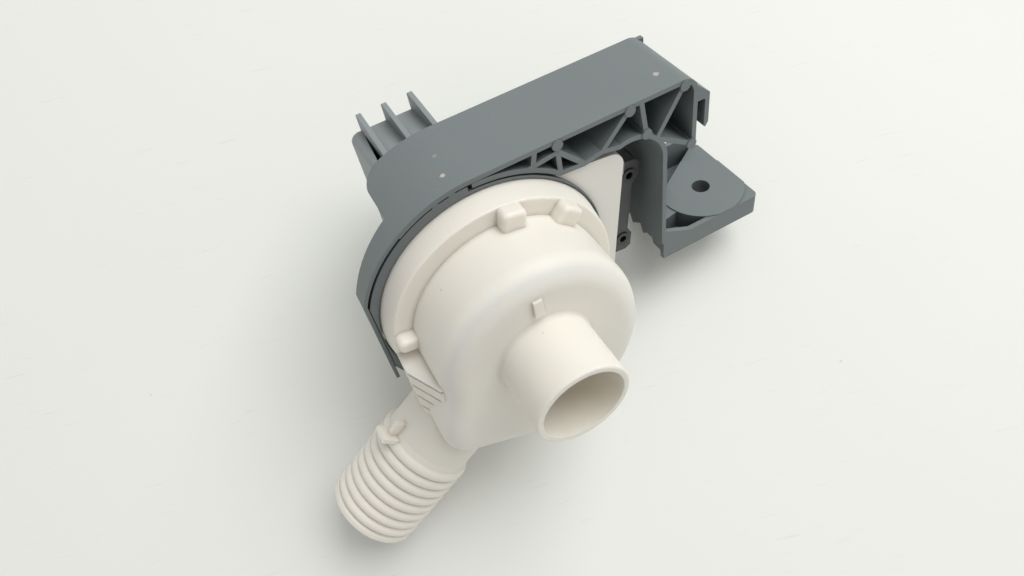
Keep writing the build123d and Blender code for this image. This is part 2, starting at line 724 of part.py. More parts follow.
def terminal_block():
    """Step on the lower bobbin that the two blades stand in."""
    coil_back = CORE_BACK - BOBBIN_CLEARANCE - BOBBIN_WALL - WINDING_BUILD
    block_back = COIL_BOX_BACK + SHROUD_WALL + BLOCK_SLACK
    return block(BOBBIN_END - BLOCK_LENGTH, BOBBIN_END, SOCKET_Y - BLOCK_HALF, SOCKET_Y + BLOCK_HALF,
                 block_back, coil_back)


def bobbin_upper():
    return motor(bobbin(1))


def bobbin_lower():
    return motor(bobbin(-1) + terminal_block())


def winding(side):
    """The coil as a filled, rounded ring between the bobbin's rims."""
    sleeve = BOBBIN_CLEARANCE + BOBBIN_WALL
    left = BOBBIN_START + BOBBIN_FLANGE
    right = BOBBIN_END - BOBBIN_FLANGE
    coil = leg_box(side, sleeve + WINDING_BUILD, left, right)
    coil = fillet(coil.edges().filter_by(Axis.X), WINDING_CORNER_R)
    return motor(coil - leg_box(side, sleeve, left, right))


def winding_upper():
    return winding(1)


def winding_lower():
    return winding(-1)


def thermal_cutout():
    """Overload switch held between the two coils."""
    reach = LEG_INNER - BOBBIN_CLEARANCE - BOBBIN_WALL - WINDING_BUILD - CUTOUT_SLACK
    middle = (CORE_FRONT + CORE_BACK) / 2
    body = block(CUTOUT_X - CUTOUT_LENGTH / 2, CUTOUT_X + CUTOUT_LENGTH / 2, -reach, reach,
                 middle - CUTOUT_DEPTH / 2, middle + CUTOUT_DEPTH / 2)
    return motor(fillet(body.edges().filter_by(Axis.Y), CUTOUT_DEPTH / 4))


def blade_box(side, grow):
    middle = SOCKET_X + side * BLADE_HALF_SPACING
    root = COIL_BOX_BACK + SHROUD_WALL + BLOCK_SLACK
    half = BLADE_WIDTH / 2 + grow
    return block(middle - half, middle + half, SOCKET_Y - BLADE_THICKNESS / 2 - grow,
                 SOCKET_Y + BLADE_THICKNESS / 2 + grow, BLADE_END, root)


def terminals():
    """Two blade terminals that stand in the socket."""
    pair = []
    for side in (-1, 1):
        blade = blade_box(side, 0)
        tip = blade.faces().sort_by(Axis.Z)[0].edges().filter_by(Axis.X)
        pair.append(motor(chamfer(tip, BLADE_CHAMFER)))
    return Compound(children=pair)


def ear_places():
    """Centres of the three screws, two beside the finned box and one under the coil box."""
    side_x = FIN_BOX_LEFT - EAR_R + EAR_OVERLAP
    low = Rot(0, 0, MOTOR_TURN) * Pos(EAR_LOW_X, -COIL_BOX_HALF - EAR_R + EAR_OVERLAP, 0)
    return [Vector(side_x, EAR_SIDE_Y), Vector(side_x, -EAR_SIDE_Y), low.position]


def fin_box(shrink):
    """The finned box, or its hollow when it is shrunk by the wall."""
    low = FIN_BOX_LOW + shrink
    front = PLATE_BACK
    back = FIN_BOX_BACK + shrink
    with BuildLine() as side_view:
        Polyline((low, front), (FIN_BOX_HIGH - shrink, front), (FIN_BOX_HIGH - shrink, FIN_BOX_BEND),
                 (FIN_BOX_BACK_HIGH - shrink, back), (low, back), close=True)
    section = Plane.YZ * make_face(side_view.line)
    box = Pos(FIN_BOX_LEFT + shrink, 0, 0) * extrude(section, FIN_BOX_RIGHT - FIN_BOX_LEFT - 2 * shrink)
    edges = box.edges()
    lengthwise = edges - edges.filter_by(Axis.X) - edges.filter_by(Axis.Y)
    box = fillet(lengthwise, FIN_BOX_CORNER_R - shrink)
    step_x = FIN_X[-1] + FIN_THICKNESS / 2 - shrink
    box -= block(step_x, FIN_BOX_RIGHT, FIN_STEP_Y - shrink, FIN_BOX_HIGH, FIN_BOX_BACK, PLATE_BACK)
    step_back = FIN_STEP_BACK + shrink
    return box - block(step_x, FIN_BOX_RIGHT, FIN_BOX_LOW, FIN_BOX_HIGH, FIN_BOX_BACK, step_back)


def coil_box(shrink):
    """The box over the coils, or its hollow, in the motor's axes."""
    box = block(COIL_BOX_LEFT, COIL_BOX_RIGHT - shrink, -COIL_BOX_HALF + shrink, COIL_BOX_HALF - shrink,
                COIL_BOX_BACK + shrink, PLATE_BACK)
    corners = box.edges().filter_by(Axis.Z).sort_by(Axis.X)[-2:]
    return motor(fillet(corners, COIL_BOX_CORNER_R - shrink))


def fin(x):
    """One upright fin with rounded tips."""
    with BuildLine() as side_view:
        Polyline((FIN_BOX_BACK_HIGH - OVERLAP, FIN_BOX_BACK), (FIN_TOP, FIN_BOX_BACK),
                 (FIN_TOP, FIN_FRONT), (FIN_BOX_HIGH - OVERLAP, FIN_FRONT),
                 (FIN_BOX_HIGH - OVERLAP, FIN_BOX_BEND), close=True)
    section = Plane.YZ * make_face(side_view.line)
    body = Pos(x - FIN_THICKNESS / 2, 0, 0) * extrude(section, FIN_THICKNESS)
    tip = body.edges().filter_by(Axis.X).sort_by_distance((x, FIN_TOP, FIN_BOX_BACK))[0]
    return fillet(tip, FIN_TIP_R)


def air_slot():
    """Tapering slot beside the first fin."""
    near_fin = FIN_X[0] - FIN_THICKNESS / 2
    with BuildLine() as outline:
        Polyline((near_fin, SLOT_BACK), (near_fin, SLOT_FRONT), (near_fin - SLOT_WIDTH, SLOT_FRONT),
                 close=True)
    return slab(make_face(outline.line), FIN_TOP, SLOT_LOW_Y)


def socket_box(shrink):
    """The socket round the blades, or its hollow, in the motor's axes."""
    half_width = SOCKET_WIDTH / 2 - shrink
    half_height = SOCKET_HEIGHT / 2 - shrink
    return block(SOCKET_X - half_width, SOCKET_X + half_width, SOCKET_Y - half_height,
                 SOCKET_Y + half_height, SOCKET_END, COIL_BOX_BACK)


def rear_shroud():
    """Finned cover of the motor, with ears for its screws and the socket of the terminals."""
    body = fin_box(0) + coil_box(0)
    for place in ear_places():
        body += rod(place.X, place.Y, EAR_R, EAR_BACK, PLATE_BACK)
    for x in FIN_X:
        body += fin(x)
    socket = socket_box(0)
    socket = fillet(socket.edges().filter_by(Axis.Z), SHROUD_WALL)
    body += motor(socket)
    body -= motor(socket_box(SHROUD_WALL))
    body -= fin_box(SHROUD_WALL)
    body -= air_slot()
    body -= coil_box(SHROUD_WALL)
    for side in (-1, 1):
        body -= motor(blade_box(side, BLADE_CLEARANCE))
    core_half = CORE_HALF + LEG_CLEARANCE
    body -= motor(block(CORE_POLE_END - LEG_CLEARANCE, CORE_YOKE_START, -core_half, core_half,
                        CORE_BACK - LEG_CLEARANCE, PLATE_BACK))
    for place in ear_places():
        body -= rod(place.X, place.Y, SCREW_HOLE_R, EAR_BACK, PLATE_BACK)
    return body


def plate_screws():
    """Three pan-head screws, driven from the back."""
    group = []
    for place in ear_places():
        screw = rod(place.X, place.Y, SCREW_R, EAR_BACK, SCREW_TIP)
        head = rod(place.X, place.Y, SCREW_HEAD_R, EAR_BACK - SCREW_HEAD, EAR_BACK)
        head = fillet(head.edges().filter_by(GeomType.CIRCLE).sort_by(Axis.Z)[0], SCREW_HEAD / 3)
        head_back = EAR_BACK - SCREW_HEAD
        recess = rod(place.X, place.Y, SCREW_SLOT_R, head_back, head_back + SCREW_SLOT_DEPTH)
        group.append(screw + head - recess)
    return Compound(children=group)


def seat_ring():
    """Grey ring round the flange, wide where the belt follows it, with two tabs to the belt."""
    belt_inner = BELT_R - BRACKET_WALL
    drift = polar(RING_DRIFT, RING_DRIFT_AZ)
    ring = rod(drift.X, drift.Y, RING_THIN_R, PANEL_FRONT, RING_FRONT)
    ring -= disc(RING_INNER_R, PANEL_FRONT, RING_FRONT)
    wide = sector(RING_WIDE_R, RING_INNER_R, RING_WIDE_START_AZ, RING_WIDE_END_AZ, RING_DEEP_BACK,
                  RING_FRONT)
    ring += wide
    for azimuth in RING_TAB_AZ:
        tab = block(RING_WIDE_R - OVERLAP, belt_inner, -RING_TAB_WIDTH / 2, RING_TAB_WIDTH / 2,
                    RING_DEEP_BACK, RING_FRONT)
        ring += Rot(0, 0, azimuth) * tab & disc(belt_inner, RING_DEEP_BACK, RING_FRONT)
    inside_tail = block(TAIL_X + TAIL_WALL + RING_TAIL_GAP, RING_WIDE_R, -RING_WIDE_R, belt_inner,
                        RING_DEEP_BACK, RING_FRONT)
    return ring & inside_tail


def line_wall(path, thickness, back, front):
    """A wall of even thickness along an open line of the cross-section."""
    return prism(make_face(offset(path, thickness / 2)), back, front)


def slab(face, high, low):
    """A level section, drawn in x and z, between two heights in y."""
    level = Plane(origin=(0, high, 0), x_dir=(1, 0, 0), z_dir=(0, -1, 0))
    return extrude(level * face, high - low)


def belt_line():
    """Middle of the belt: round the flange, along the long wall and down the end wall."""
    radius = BELT_R - BRACKET_WALL / 2
    end_x = LONG_WALL_END_X - BRACKET_WALL / 2
    with BuildLine() as path:
        CenterArc((0, 0), radius, BELT_END_AZ, 90 - BELT_END_AZ)
        FilletPolyline((0, radius), (end_x, radius), (end_x, END_WALL_LOW_Y),
                       radius=LONG_WALL_CORNER_R - BRACKET_WALL / 2)
    return path.wire()


def belt_end_corner():
    """What the belt loses at its free end: all beyond it, and the round back corner."""
    round_z = BELT_END_R - BRACKET_DEPTH
    inner = BELT_R - 2 * BRACKET_WALL
    outer = BELT_R + OVERLAP
    beyond = block(inner, outer, 0, 2 * BRACKET_WALL, -BRACKET_DEPTH, BRACKET_FRONT)
    corner = block(inner, outer, -BELT_END_R, OVERLAP, -BRACKET_DEPTH, round_z)
    round_end = Pos(BELT_R, -BELT_END_R, round_z) * Rot(0, 90, 0) * Cylinder(BELT_END_R, 6 * BRACKET_WALL)
    return Rot(0, 0, BELT_END_AZ) * (corner - round_end + beyond)


def tail_line():
    """Middle of the shallow collar and of the straight tail beside the grip."""
    radius = BELT_R - TAIL_WALL / 2
    tail_x = TAIL_X + TAIL_WALL / 2
    meet_az = degrees(atan2((radius ** 2 - tail_x ** 2) ** 0.5, tail_x))
    start_az = BELT_END_AZ - OVERLAP
    with BuildLine() as path:
        CenterArc((0, 0), radius, start_az, meet_az - start_az)
        Line(polar(radius, meet_az), (tail_x, TAIL_LOW_Y))
    return path.wire()


def collar_depth():
    """What the collar and tail are cut to: deep at the belt, shallow down the tail."""
    belt_end_y = polar(BELT_R, BELT_END_AZ).Y
    with BuildLine() as side_view:
        Polyline((BELT_R, BRACKET_FRONT), (BELT_R, -COLLAR_DEPTH), (belt_end_y, -COLLAR_DEPTH),
                 (COLLAR_MIDDLE_Y, -COLLAR_MIDDLE_DEPTH), (TAIL_LOW_Y, -TAIL_DEPTH),
                 (TAIL_LOW_Y, BRACKET_FRONT), close=True)
    return extrude(Plane.YZ * make_face(side_view.line), -BELT_R)


def arch_point(azimuth):
    """A point on the middle of the arch."""
    return Vector(ARCH_X, ARCH_Y) + polar(ARCH_R, azimuth)


def chord_points():
    """Lower edge of the truss, from the inner belt to the arch."""
    return [polar(INNER_BELT_R - RIB / 2, INNER_BELT_END_AZ), Vector(*CHORD_LOW), Vector(*CHORD_HIGH),
            arch_point(ARCH_START_AZ)]


def arch_line():
    """Middle of the lower edge of the truss, the arch and the arm."""
    with BuildLine() as path:
        Polyline(*chord_points())
        CenterArc((ARCH_X, ARCH_Y), ARCH_R, ARCH_START_AZ, -ARCH_START_AZ)
        Line(arch_point(0), (ARCH_X + ARCH_R, ARM_LOW_Y))
    return path.wire()


def truss_ribs():
    """Ribs between the long wall and the arch, with a round boss where they meet."""
    under_wall = BELT_R - BRACKET_WALL
    end_x = LONG_WALL_END_X - BRACKET_WALL / 2
    wall_left = Vector(WALL_NODE_X[0], under_wall)
    wall_middle = Vector(WALL_NODE_X[1], under_wall)
    wall_right = Vector(WALL_NODE_X[2], under_wall)
    knot = Vector(wall_left.X, under_wall - KNOT_DROP)
    arch_top = arch_point(ARCH_TOP_AZ)
    arch_side = arch_point(ARCH_SIDE_AZ)
    end_low = Vector(end_x - BOSS_R / 2, END_WALL_LOW_Y + BOSS_R)
    chord = chord_points()
    inner_belt = INNER_BELT_R - RIB / 2
    runs = [(wall_right, arch_side), (wall_middle, chord[2]), (Vector(STRUT_X, under_wall), arch_top),
            (arch_side, end_low), (wall_left, knot), (knot, chord[0]), (knot, chord[1]),
            (knot, polar(inner_belt, KNOT_RIB_AZ)),
            (polar(inner_belt, SHORT_RIB_AZ), Vector(SHORT_RIB_X, under_wall))]
    body = Part()
    for start, end in runs:
        body += bar(start, end, RIB, -BRACKET_DEPTH, BRACKET_FRONT)
    nodes = [Vector(x, BELT_R - BOSS_R - BOSS_PROUD) for x in WALL_NODE_X]
    for place in nodes + [arch_top + Vector(0, BOSS_R / 2), end_low]:
        body += rod(place.X, place.Y, BOSS_R, -BRACKET_DEPTH, BOSS_PROUD)
    return body


def truss_web():
    """Thin back that closes the truss."""
    top = BELT_R - BRACKET_WALL / 2
    end_x = LONG_WALL_END_X - BRACKET_WALL / 2
    arch = [arch_point(azimuth) for azimuth in range(ARCH_SIDE_AZ, ARCH_START_AZ, ARCH_STEP)]
    with BuildLine() as outline:
        Polyline((0, top), (end_x, top), (end_x, END_WALL_LOW_Y + BOSS_R), *arch, *reversed(chord_points()),
                 (0, polar(INNER_BELT_R, INNER_BELT_END_AZ).Y), close=True)
    web = prism(make_face(outline.line), -BRACKET_DEPTH, -BRACKET_DEPTH + WEB)
    return web - disc(INNER_BELT_R - RIB, -BRACKET_DEPTH, 0)


def hook():
    """Hook on the end wall that drops over a ledge."""
    wall_x = LONG_WALL_END_X
    root_x = wall_x - BRACKET_WALL / 2
    inner_x = wall_x + HOOK_GAP
    outer_x = inner_x + HOOK_WALL
    slot_top = HOOK_SHOULDER_Y - HOOK_WALL
    with BuildLine() as outline:
        Polyline((root_x, HOOK_TOP_Y), (wall_x, HOOK_TOP_Y), (outer_x, HOOK_SHOULDER_Y),
                 (outer_x, HOOK_TIP_Y + HOOK_WALL), (inner_x + HOOK_WALL / 3, HOOK_TIP_Y),
                 (inner_x, HOOK_TIP_Y + HOOK_WALL / 3), (inner_x, slot_top), (root_x, slot_top), close=True)
    body = prism(make_face(outline.line), -HOOK_DEPTH, BRACKET_FRONT)
    slot_corner = body.edges().filter_by(Axis.Z).sort_by_distance((inner_x, slot_top, -HOOK_DEPTH / 2))[0]
    return fillet(slot_corner, HOOK_WALL / 2)


def foot_outline():
    """Plan of the foot: square at the front, cut slanting at the back."""
    arm_x = ARCH_X + ARCH_R
    with BuildLine() as outline:
        Polyline((arm_x, 0), (FOOT_END_X, 0), (FOOT_END_X, FOOT_END_BACK), (arm_x, FOOT_ARM_BACK),
                 close=True)
    plan = make_face(outline.line)
    end_corners = plan.vertices().sort_by(Axis.X)[-2:]
    return fillet(end_corners, FOOT_CORNER_R)


def foot_tray():
    """Sunk floor behind the foot, with a wall along its back and its left side."""
    low = FOOT_TOP_Y - FOOT_SKIRT
    arm_x = ARCH_X + ARCH_R
    share = (TRAY_LEFT - arm_x) / (FOOT_END_X - arm_x)
    meet_z = FOOT_ARM_BACK + share * (FOOT_END_BACK - FOOT_ARM_BACK)
    with BuildLine() as outline:
        Polyline((TRAY_LEFT, meet_z), (FOOT_END_X, FOOT_END_BACK), (TRAY_LEFT, FOOT_END_BACK), close=True)
    tray = slab(make_face(outline.line), low + FOOT_WALL, low)
    corner_x = FOOT_END_X - FOOT_CORNER_R
    with BuildLine() as back_view:
        Polyline((TRAY_LEFT, low), (corner_x, low), (corner_x, FOOT_TOP_Y), (TRAY_RIGHT, TRAY_TOP_Y),
                 (TRAY_LEFT, TRAY_TOP_Y), close=True)
    tray += prism(make_face(back_view.line), FOOT_END_BACK, FOOT_END_BACK + FOOT_WALL)
    return tray + block(TRAY_LEFT, TRAY_LEFT + FOOT_WALL, low, TRAY_TOP_Y, FOOT_END_BACK, meet_z)


def foot():
    """Hollow foot with a skirt, a pad and sleeve for its screw, a pocket and a gusset."""
    low = FOOT_TOP_Y - FOOT_SKIRT
    arm_face = ARCH_X + ARCH_R + RIB / 2
    plan = foot_outline()
    body = slab(plan, FOOT_TOP_Y, low)
    body -= slab(offset(plan, -FOOT_WALL), FOOT_TOP_Y - FOOT_PLATE, low)
    body -= block(arm_face - 2 * RIB, arm_face + FOOT_WALL, low, FOOT_TOP_Y - FOOT_PLATE,
                  FOOT_ARM_BACK - 2 * FOOT_WALL, -FOOT_WALL)
    centre = Pos(FOOT_HOLE_X, FOOT_HOLE_Z)
    pad = centre * Circle(FOOT_PAD_R) & plan
    body += slab(pad, FOOT_TOP_Y + FOOT_PAD, FOOT_TOP_Y)
    body += slab(centre * Circle(FOOT_SLEEVE_R), FOOT_TOP_Y, low)
    with BuildLine() as outline:
        Polyline((arm_face, -FOOT_WALL), (FOOT_HOLE_X, -FOOT_WALL), (FOOT_HOLE_X, FOOT_POCKET_BACK),
                 (arm_face, FOOT_ARM_BACK + 2 * FOOT_WALL), close=True)
    pocket = make_face(outline.line) - centre * Circle(FOOT_PAD_R)
    body -= slab(pocket, FOOT_TOP_Y + FOOT_PAD, low)
    right_of_tub = Rectangle(FOOT_END_X, FOOT_END_X, align=(Align.MIN, Align.CENTER))
    well = pocket & Pos(FOOT_TUB_LEFT, 0) * right_of_tub
    tub = slab(offset(well, FOOT_TUB_WALL), FOOT_TOP_Y - FOOT_PLATE / 2, low)
    body += tub - slab(well, FOOT_TOP_Y, low + FOOT_TUB_WALL)
    body -= slab(centre * Circle(FOOT_HOLE_R), FOOT_TOP_Y + FOOT_PAD, low)
    arm_x = ARCH_X + ARCH_R
    with BuildLine() as side:
        Polyline((arm_x, GUSSET_HIGH_Y), (GUSSET_END_X, FOOT_TOP_Y), (GUSSET_END_X, FOOT_TOP_Y - RIB),
                 (arm_x, FOOT_TOP_Y - RIB), close=True)
    return body + prism(make_face(side.line), -FOOT_WALL, 0)


def arm_teeth():
    """What the arm's lower edge loses between its leaning teeth."""
    group = Part()
    low = ARM_LOW_Y - RIB
    z = 0
    while z > -BRACKET_DEPTH:
        tip_z = z + TOOTH_LEAN
        next_z = tip_z - TOOTH_PITCH + TOOTH_TIP
        with BuildLine() as side_view:
            Polyline((low, tip_z), (ARM_LOW_Y, tip_z), (ARM_LOW_Y + TOOTH_HEIGHT, z), (ARM_LOW_Y, next_z),
                     (low, next_z), close=True)
        notch = extrude(Plane.YZ * make_face(side_view.line), 2 * RIB, both=True)
        group += Pos(ARCH_X + ARCH_R, 0, 0) * notch
        z -= TOOTH_PITCH
    return group


def mounting_bracket():
    """Belt, truss, arch, arm, hook and foot, moulded in one."""
    front = BRACKET_FRONT
    body = line_wall(belt_line(), BRACKET_WALL, -BRACKET_DEPTH, front)
    body -= belt_end_corner()
    body += line_wall(tail_line(), TAIL_WALL, -COLLAR_DEPTH, front) & collar_depth()
    body += sector(INNER_BELT_R, INNER_BELT_R - RIB, INNER_BELT_END_AZ, 90, -BRACKET_DEPTH, front)
    arch = line_wall(arch_line(), RIB, -BRACKET_DEPTH, front)
    body += arch - arm_teeth()
    body += truss_ribs() + truss_web() + hook() + foot() + foot_tray()
    shelf = sector(BELT_R - BRACKET_WALL / 2, RING_INNER_R, SHELF_START_AZ, SHELF_END_AZ,
                   RING_DEEP_BACK - SHELF_THICKNESS, RING_DEEP_BACK)
    body += shelf & block(TAIL_X + TAIL_WALL / 2, 0, TAIL_LOW_Y, BELT_R, -BRACKET_DEPTH, front)
    lip_high = Vector(*CHORD_LOW).Y
    body += block(LIP_LEFT, LIP_RIGHT, LIP_LOW_Y, lip_high, PLATE_BACK - LIP_THICKNESS, PLATE_BACK)
    return body


def to_row(shape):
    """Long wall up, inlet to the front, origin in the middle of the inlet's mouth."""
    return Pos(0, INLET_MOUTH, 0) * Rot(90, 0, 0) * shape


PIECES = (volute_housing, volute_seal, end_plate, seat_ring, plate_screws, shaft, retaining_clip,
          front_thrust_washer, rear_thrust_washer, rotor_magnet, front_bush, rear_bush,
          front_bush_holder, rear_bush_holder, impeller, dog_buffer, drive_dog, stator_core, core_rivets,
          bobbin_upper, bobbin_lower, winding_upper, winding_lower, thermal_cutout, terminals,
          rear_shroud, mounting_bracket)

os.makedirs("parts", exist_ok=True)
for make in PIECES:
    piece = to_row(make())
    export_step(piece, f"parts/{make.__name__}.step")
    print(make.__name__, round(piece.volume), "mm3")
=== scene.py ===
# %% [markdown]
# A drain pump from a washing machine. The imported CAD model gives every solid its
# shape and place, and this file gives it its looks: the camera of the picture, the
# pale surface it lies on, soft light, and the plastics, steels and rubbers it is
# made of. Everything is in metres, in the axes of the CAD model.

# %% Load the frame
import math

import bpy
from mathutils import Matrix, Vector


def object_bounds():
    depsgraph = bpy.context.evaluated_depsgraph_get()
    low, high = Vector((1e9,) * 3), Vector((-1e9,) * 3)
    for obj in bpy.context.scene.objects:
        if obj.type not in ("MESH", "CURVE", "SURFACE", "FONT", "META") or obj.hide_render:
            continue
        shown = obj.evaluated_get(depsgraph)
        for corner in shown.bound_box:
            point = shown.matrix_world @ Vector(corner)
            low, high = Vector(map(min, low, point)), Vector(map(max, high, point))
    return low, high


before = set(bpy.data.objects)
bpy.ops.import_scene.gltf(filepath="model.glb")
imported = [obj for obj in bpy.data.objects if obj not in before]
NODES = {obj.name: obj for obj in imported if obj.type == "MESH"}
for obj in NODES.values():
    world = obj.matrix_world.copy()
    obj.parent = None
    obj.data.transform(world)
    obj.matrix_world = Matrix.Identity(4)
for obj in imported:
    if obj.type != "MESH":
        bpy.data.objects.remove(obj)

CAD_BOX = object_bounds()
print("nodes", len(NODES), "CAD box", [tuple(round(v, 4) for v in corner) for corner in CAD_BOX])

# %% [markdown]
# The camera. The picture was taken by hand from close above the pump, a little to
# the left of the inlet, so near things look clearly larger than far ones. Its place
# and its directions were worked out from the round flange and the straight edges of
# the bracket, and a lens of 26 mm on a 36 mm sensor gives the same view.

# %% Camera
CAMERA_PLACE = Vector((-0.05217, -0.11203, 0.20659))
CAMERA_RIGHT = Vector((0.87331, -0.46493, -0.14550))
CAMERA_UP = Vector((0.44206, 0.63076, 0.63775))
CAMERA_LENS_MM = 25.737
SENSOR_MM = 36.0
NEAREST = 0.01
FARTHEST = 20.0


def photo_camera():
    """The camera of the picture, from its place and its own right and up directions."""
    data = bpy.data.cameras.new("photo_camera")
    data.sensor_width = SENSOR_MM
    data.lens = CAMERA_LENS_MM
    data.clip_start = NEAREST
    data.clip_end = FARTHEST
    made = bpy.data.objects.new("photo_camera", data)
    bpy.context.scene.collection.objects.link(made)
    right = CAMERA_RIGHT.normalized()
    back = right.cross(CAMERA_UP).normalized()
    up = back.cross(right)
    turn = Matrix((right, up, back)).transposed().to_4x4()
    made.matrix_world = Matrix.Translation(CAMERA_PLACE) @ turn
    return made


camera = photo_camera()
bpy.context.scene.camera = camera
print("camera looks along", [round(-v, 3) for v in camera.matrix_world.col[2][:3]])

# %% [markdown]
# Nodes in code. A procedural material is a small graph, and these helpers keep the
# graphs short to write: one adds a node and fills or links its inputs by name, one
# does a sum on two values, and one starts a group. An effect that several materials
# share is built once as a group, and each material places it with its own values.

# %% Node helpers
FLOAT = "NodeSocketFloat"
VECTOR = "NodeSocketVector"


def add(tree, kind, inputs=None, **settings):
    """Adds a node, sets its properties, and fills or links the sockets named in inputs."""
    node = tree.nodes.new(kind)
    for key, value in settings.items():
        setattr(node, key, value)
    for key, value in (inputs or {}).items():
        if isinstance(value, bpy.types.NodeSocket):
            tree.links.new(value, node.inputs[key])
        else:
            node.inputs[key].default_value = value
    return node


def calc(tree, operation, first, second=0.0, clamp=False):
    """A sum on two values or sockets; gives the socket with the answer."""
    return add(tree, "ShaderNodeMath", {0: first, 1: second}, operation=operation,
               use_clamp=clamp).outputs[0]


def object_place(tree):
    """The place on the object, in metres, so a pattern has its real size."""
    return add(tree, "ShaderNodeTexCoord").outputs["Object"]


def new_group(name, inputs, outputs):
    """An empty shader group with these sockets; gives the tree and its two end nodes."""
    tree = bpy.data.node_groups.new(name, "ShaderNodeTree")
    for label, kind, value in inputs:
        socket = tree.interface.new_socket(label, in_out="INPUT", socket_type=kind)
        socket.default_value = value
    for label, kind in outputs:
        tree.interface.new_socket(label, in_out="OUTPUT", socket_type=kind)
    return tree, tree.nodes.new("NodeGroupInput"), tree.nodes.new("NodeGroupOutput")


# %% [markdown]
# Moulded skin. Injection-moulded plastic is never quite smooth: the mould is spark
# eroded or blasted to a fine grain, and the melt leaves broad, faint clouds of
# colour. The group mixes a fine noise, which becomes bump, with a wide one, which
# becomes a slight change of tone.

# %% Group: moulded skin
GRAIN_SIZE = 0.0005
CLOUD_SIZE = 0.03


def moulded_skin_group():
    """Fine grain and broad clouds, each of its own size in metres."""
    tree, into, out = new_group(
        "moulded_skin",
        [("Grain Size", FLOAT, GRAIN_SIZE), ("Cloud Size", FLOAT, CLOUD_SIZE)],
        [("Grain", FLOAT), ("Cloud", FLOAT)])
    place = object_place(tree)
    fine_scale = calc(tree, "DIVIDE", 1.0, into.outputs["Grain Size"])
    wide_scale = calc(tree, "DIVIDE", 1.0, into.outputs["Cloud Size"])
    fine = add(tree, "ShaderNodeTexNoise",
               {"Vector": place, "Scale": fine_scale, "Detail": 3.0, "Roughness": 0.6})
    wide = add(tree, "ShaderNodeTexNoise",
               {"Vector": place, "Scale": wide_scale, "Detail": 2.0, "Distortion": 0.6})
    tree.links.new(fine.outputs["Fac"], out.inputs["Grain"])
    tree.links.new(wide.outputs["Fac"], out.inputs["Cloud"])
    return tree


MOULDED_SKIN = moulded_skin_group()
print("group", MOULDED_SKIN.name)

# %% [markdown]
# Edges. Light catches the small radius that every moulded edge has, and handling
# rubs it paler. The Bevel node looks a fraction of a millimetre around each point
# and rounds the normal there; where that normal leaves the true one there is an edge.
# The mask of the edges paints them paler: partly rubbed wear, partly a painted highlight.

# %% Group: soft edges
MOULDED_EDGE_R = 0.0003
EDGE_GAIN = 3.0


def soft_edge_group():
    """A mask of the edges, and the normal that is rounded over them."""
    tree, into, out = new_group(
        "soft_edge",
        [("Radius", FLOAT, MOULDED_EDGE_R), ("Gain", FLOAT, EDGE_GAIN)],
        [("Edge", FLOAT), ("Normal", VECTOR)])
    rounded = add(tree, "ShaderNodeBevel", {"Radius": into.outputs["Radius"]}, samples=6)
    true_normal = add(tree, "ShaderNodeNewGeometry").outputs["Normal"]
    agree = add(tree, "ShaderNodeVectorMath", {0: rounded.outputs[0], 1: true_normal},
                operation="DOT_PRODUCT").outputs["Value"]
    differ = calc(tree, "SUBTRACT", 1.0, agree)
    gained = calc(tree, "MULTIPLY", differ, into.outputs["Gain"], clamp=True)
    tree.links.new(gained, out.inputs["Edge"])
    tree.links.new(rounded.outputs[0], out.inputs["Normal"])
    return tree


SOFT_EDGE = soft_edge_group()
print("group", SOFT_EDGE.name)

# %% [markdown]
# Dust and scuffs. A part that has lain in a box carries a few pale specks and short
# rubbed marks. Specks are the cores of a sparse cell pattern, scuffs are a noise
# stretched along one direction and cut off high, so that only a few streaks stay.

# %% Group: specks and scuffs
SPECK_SPACING = 0.012
SPECK_SIZE = 0.05
SCUFF_CUT = 0.68
SCUFF_FULL = 0.8
SCUFF_TURN = (0.6, 0.3, 0.9)
SCUFF_STRETCH = (60.0, 900.0, 900.0)


def wear_marks_group():
    """Sparse specks and short streaks, as two masks."""
    tree, into, out = new_group(
        "wear_marks",
        [("Spacing", FLOAT, SPECK_SPACING), ("Speck Size", FLOAT, SPECK_SIZE),
         ("Scuff Cut", FLOAT, SCUFF_CUT)],
        [("Specks", FLOAT), ("Scuffs", FLOAT)])
    place = object_place(tree)
    density = calc(tree, "DIVIDE", 1.0, into.outputs["Spacing"])
    cells = add(tree, "ShaderNodeTexVoronoi", {"Vector": place, "Scale": density})
    size = calc(tree, "MULTIPLY", cells.outputs["Color"], into.outputs["Speck Size"])
    speck = calc(tree, "LESS_THAN", cells.outputs["Distance"], size)
    stretched = add(tree, "ShaderNodeMapping",
                    {"Vector": place, "Rotation": SCUFF_TURN, "Scale": SCUFF_STRETCH})
    streak = add(tree, "ShaderNodeTexNoise",
                 {"Vector": stretched.outputs[0], "Scale": 1.0, "Detail": 2.0})
    scuff = add(tree, "ShaderNodeMapRange",
                {"Value": streak.outputs["Fac"], "From Min": into.outputs["Scuff Cut"],
                 "From Max": SCUFF_FULL})
    tree.links.new(speck, out.inputs["Specks"])
    tree.links.new(scuff.outputs[0], out.inputs["Scuffs"])
    return tree


WEAR_MARKS = wear_marks_group()
print("group", WEAR_MARKS.name)

# %% [markdown]
# Single spots. The real bracket carries a few pale flecks at places that the eye
# finds at once, so they are put where they are. The mask is the distance to a place,
# bent by a little noise so that the fleck is not a perfect disc.

# %% Group: one fleck at a place
FLECK_R = 0.001
FLECK_NOISE_SCALE = 1400.0
FLECK_OUTSIDE = 1.5
FLECK_INSIDE = 1.1


